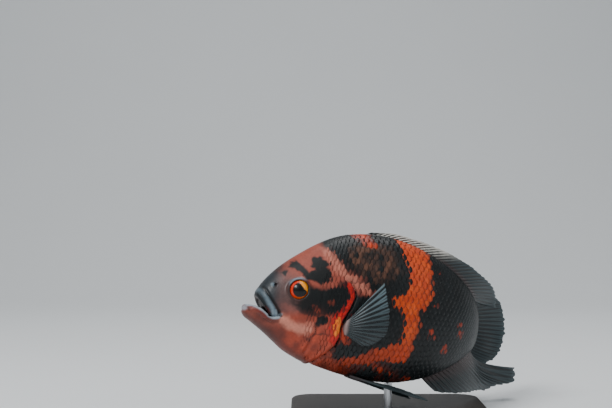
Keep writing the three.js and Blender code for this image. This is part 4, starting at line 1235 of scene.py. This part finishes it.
# The rod is a ground bar of stainless steel that stands in the base and carries the belly. It is
# the solid itself, with fine scratches round it.
STEEL_DARK, STEEL_BRIGHT = (0.42, 0.43, 0.45, 1), (0.66, 0.67, 0.69, 1)
steel = Finish("ground_steel", Metallic=1.0)
scratches = steel.noise(steel.stretched((1, 1, 30)), 300)
steel.set("Base Color", steel.mixed(STEEL_DARK, STEEL_BRIGHT, scratches))
steel.set("Roughness", 0.2 + 0.25 * scratches)
steel.set("Normal", steel.bump(scratches, 0.1, 0.0002))
steel.give(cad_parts["stand_rod"])


# The room is a floor of plain pale paper that runs up behind in a bend, with three soft studio lamps
# and a dim, even sky. None of it belongs to the part.
FLOOR_WIDTH, FLOOR_FRONT, FLOOR_BACK, WALL_HEIGHT, FLOOR_BEND = 8, -3, 1.7, 3.4, 0.8
bpy.ops.mesh.primitive_plane_add(size=1, location=(0, (FLOOR_FRONT + FLOOR_BACK) / 2, 0))
floor = bpy.context.object
floor.name = "floor"
floor.scale = (FLOOR_WIDTH, FLOOR_BACK - FLOOR_FRONT, 1)
bpy.ops.object.transform_apply(location=True, rotation=True, scale=True)


def pick_back_edge():
    """The edge where the floor meets the wall, and no other, selected for the next operator."""
    bpy.ops.object.mode_set(mode="EDIT")
    bpy.ops.mesh.select_mode(type="EDGE")
    bpy.ops.mesh.select_all(action="DESELECT")
    bpy.ops.object.mode_set(mode="OBJECT")
    for edge in floor.data.edges:
        ends = [floor.data.vertices[i].co for i in edge.vertices]
        edge.select = all(end.y > FLOOR_BACK - 0.01 and end.z < 0.01 for end in ends)
    bpy.ops.object.mode_set(mode="EDIT")


pick_back_edge()
bpy.ops.mesh.extrude_region_move(TRANSFORM_OT_translate={"value": (0, 0, WALL_HEIGHT)})
pick_back_edge()
bpy.ops.mesh.bevel(offset=FLOOR_BEND, segments=12, affect="EDGES")
bpy.ops.object.mode_set(mode="OBJECT")
bpy.ops.object.shade_smooth()
PAPER_DARK, PAPER_LIGHT = (0.70, 0.72, 0.73, 1), (0.74, 0.76, 0.77, 1)
paper = Finish("pale_paper", Roughness=0.85)
where = paper.node("ShaderNodeTexCoord", {}, {}, "Object")
paper.set("Base Color", paper.mixed(PAPER_DARK, PAPER_LIGHT, paper.noise(where, 3)))
paper.give(floor)

LAMP_AIM = (-0.02, -0.01, 0.09)
LAMPS = [
    ("key_lamp", (-0.85, -0.9, 1.3), 0.6, 24),
    ("top_lamp", (0.2, 0.3, 1.5), 0.9, 12),
    ("side_lamp", (1.3, -0.5, 0.8), 0.7, 2),
]
for label, where, width, power in LAMPS:
    bpy.ops.object.light_add(type="AREA", location=where)
    lamp = bpy.context.object
    lamp.name = label
    lamp.data.size = width
    lamp.data.energy = power
    aim = Vector(LAMP_AIM) - Vector(where)
    lamp.rotation_euler = aim.to_track_quat("-Z", "Y").to_euler()

SKY_COLOUR, SKY_STRENGTH = (0.85, 0.9, 0.95, 1), 0.3
sky = bpy.data.worlds.new("studio")
bpy.context.scene.world = sky
sky.use_nodes = True
sky.node_tree.nodes["Background"].inputs["Color"].default_value = SKY_COLOUR
sky.node_tree.nodes["Background"].inputs["Strength"].default_value = SKY_STRENGTH
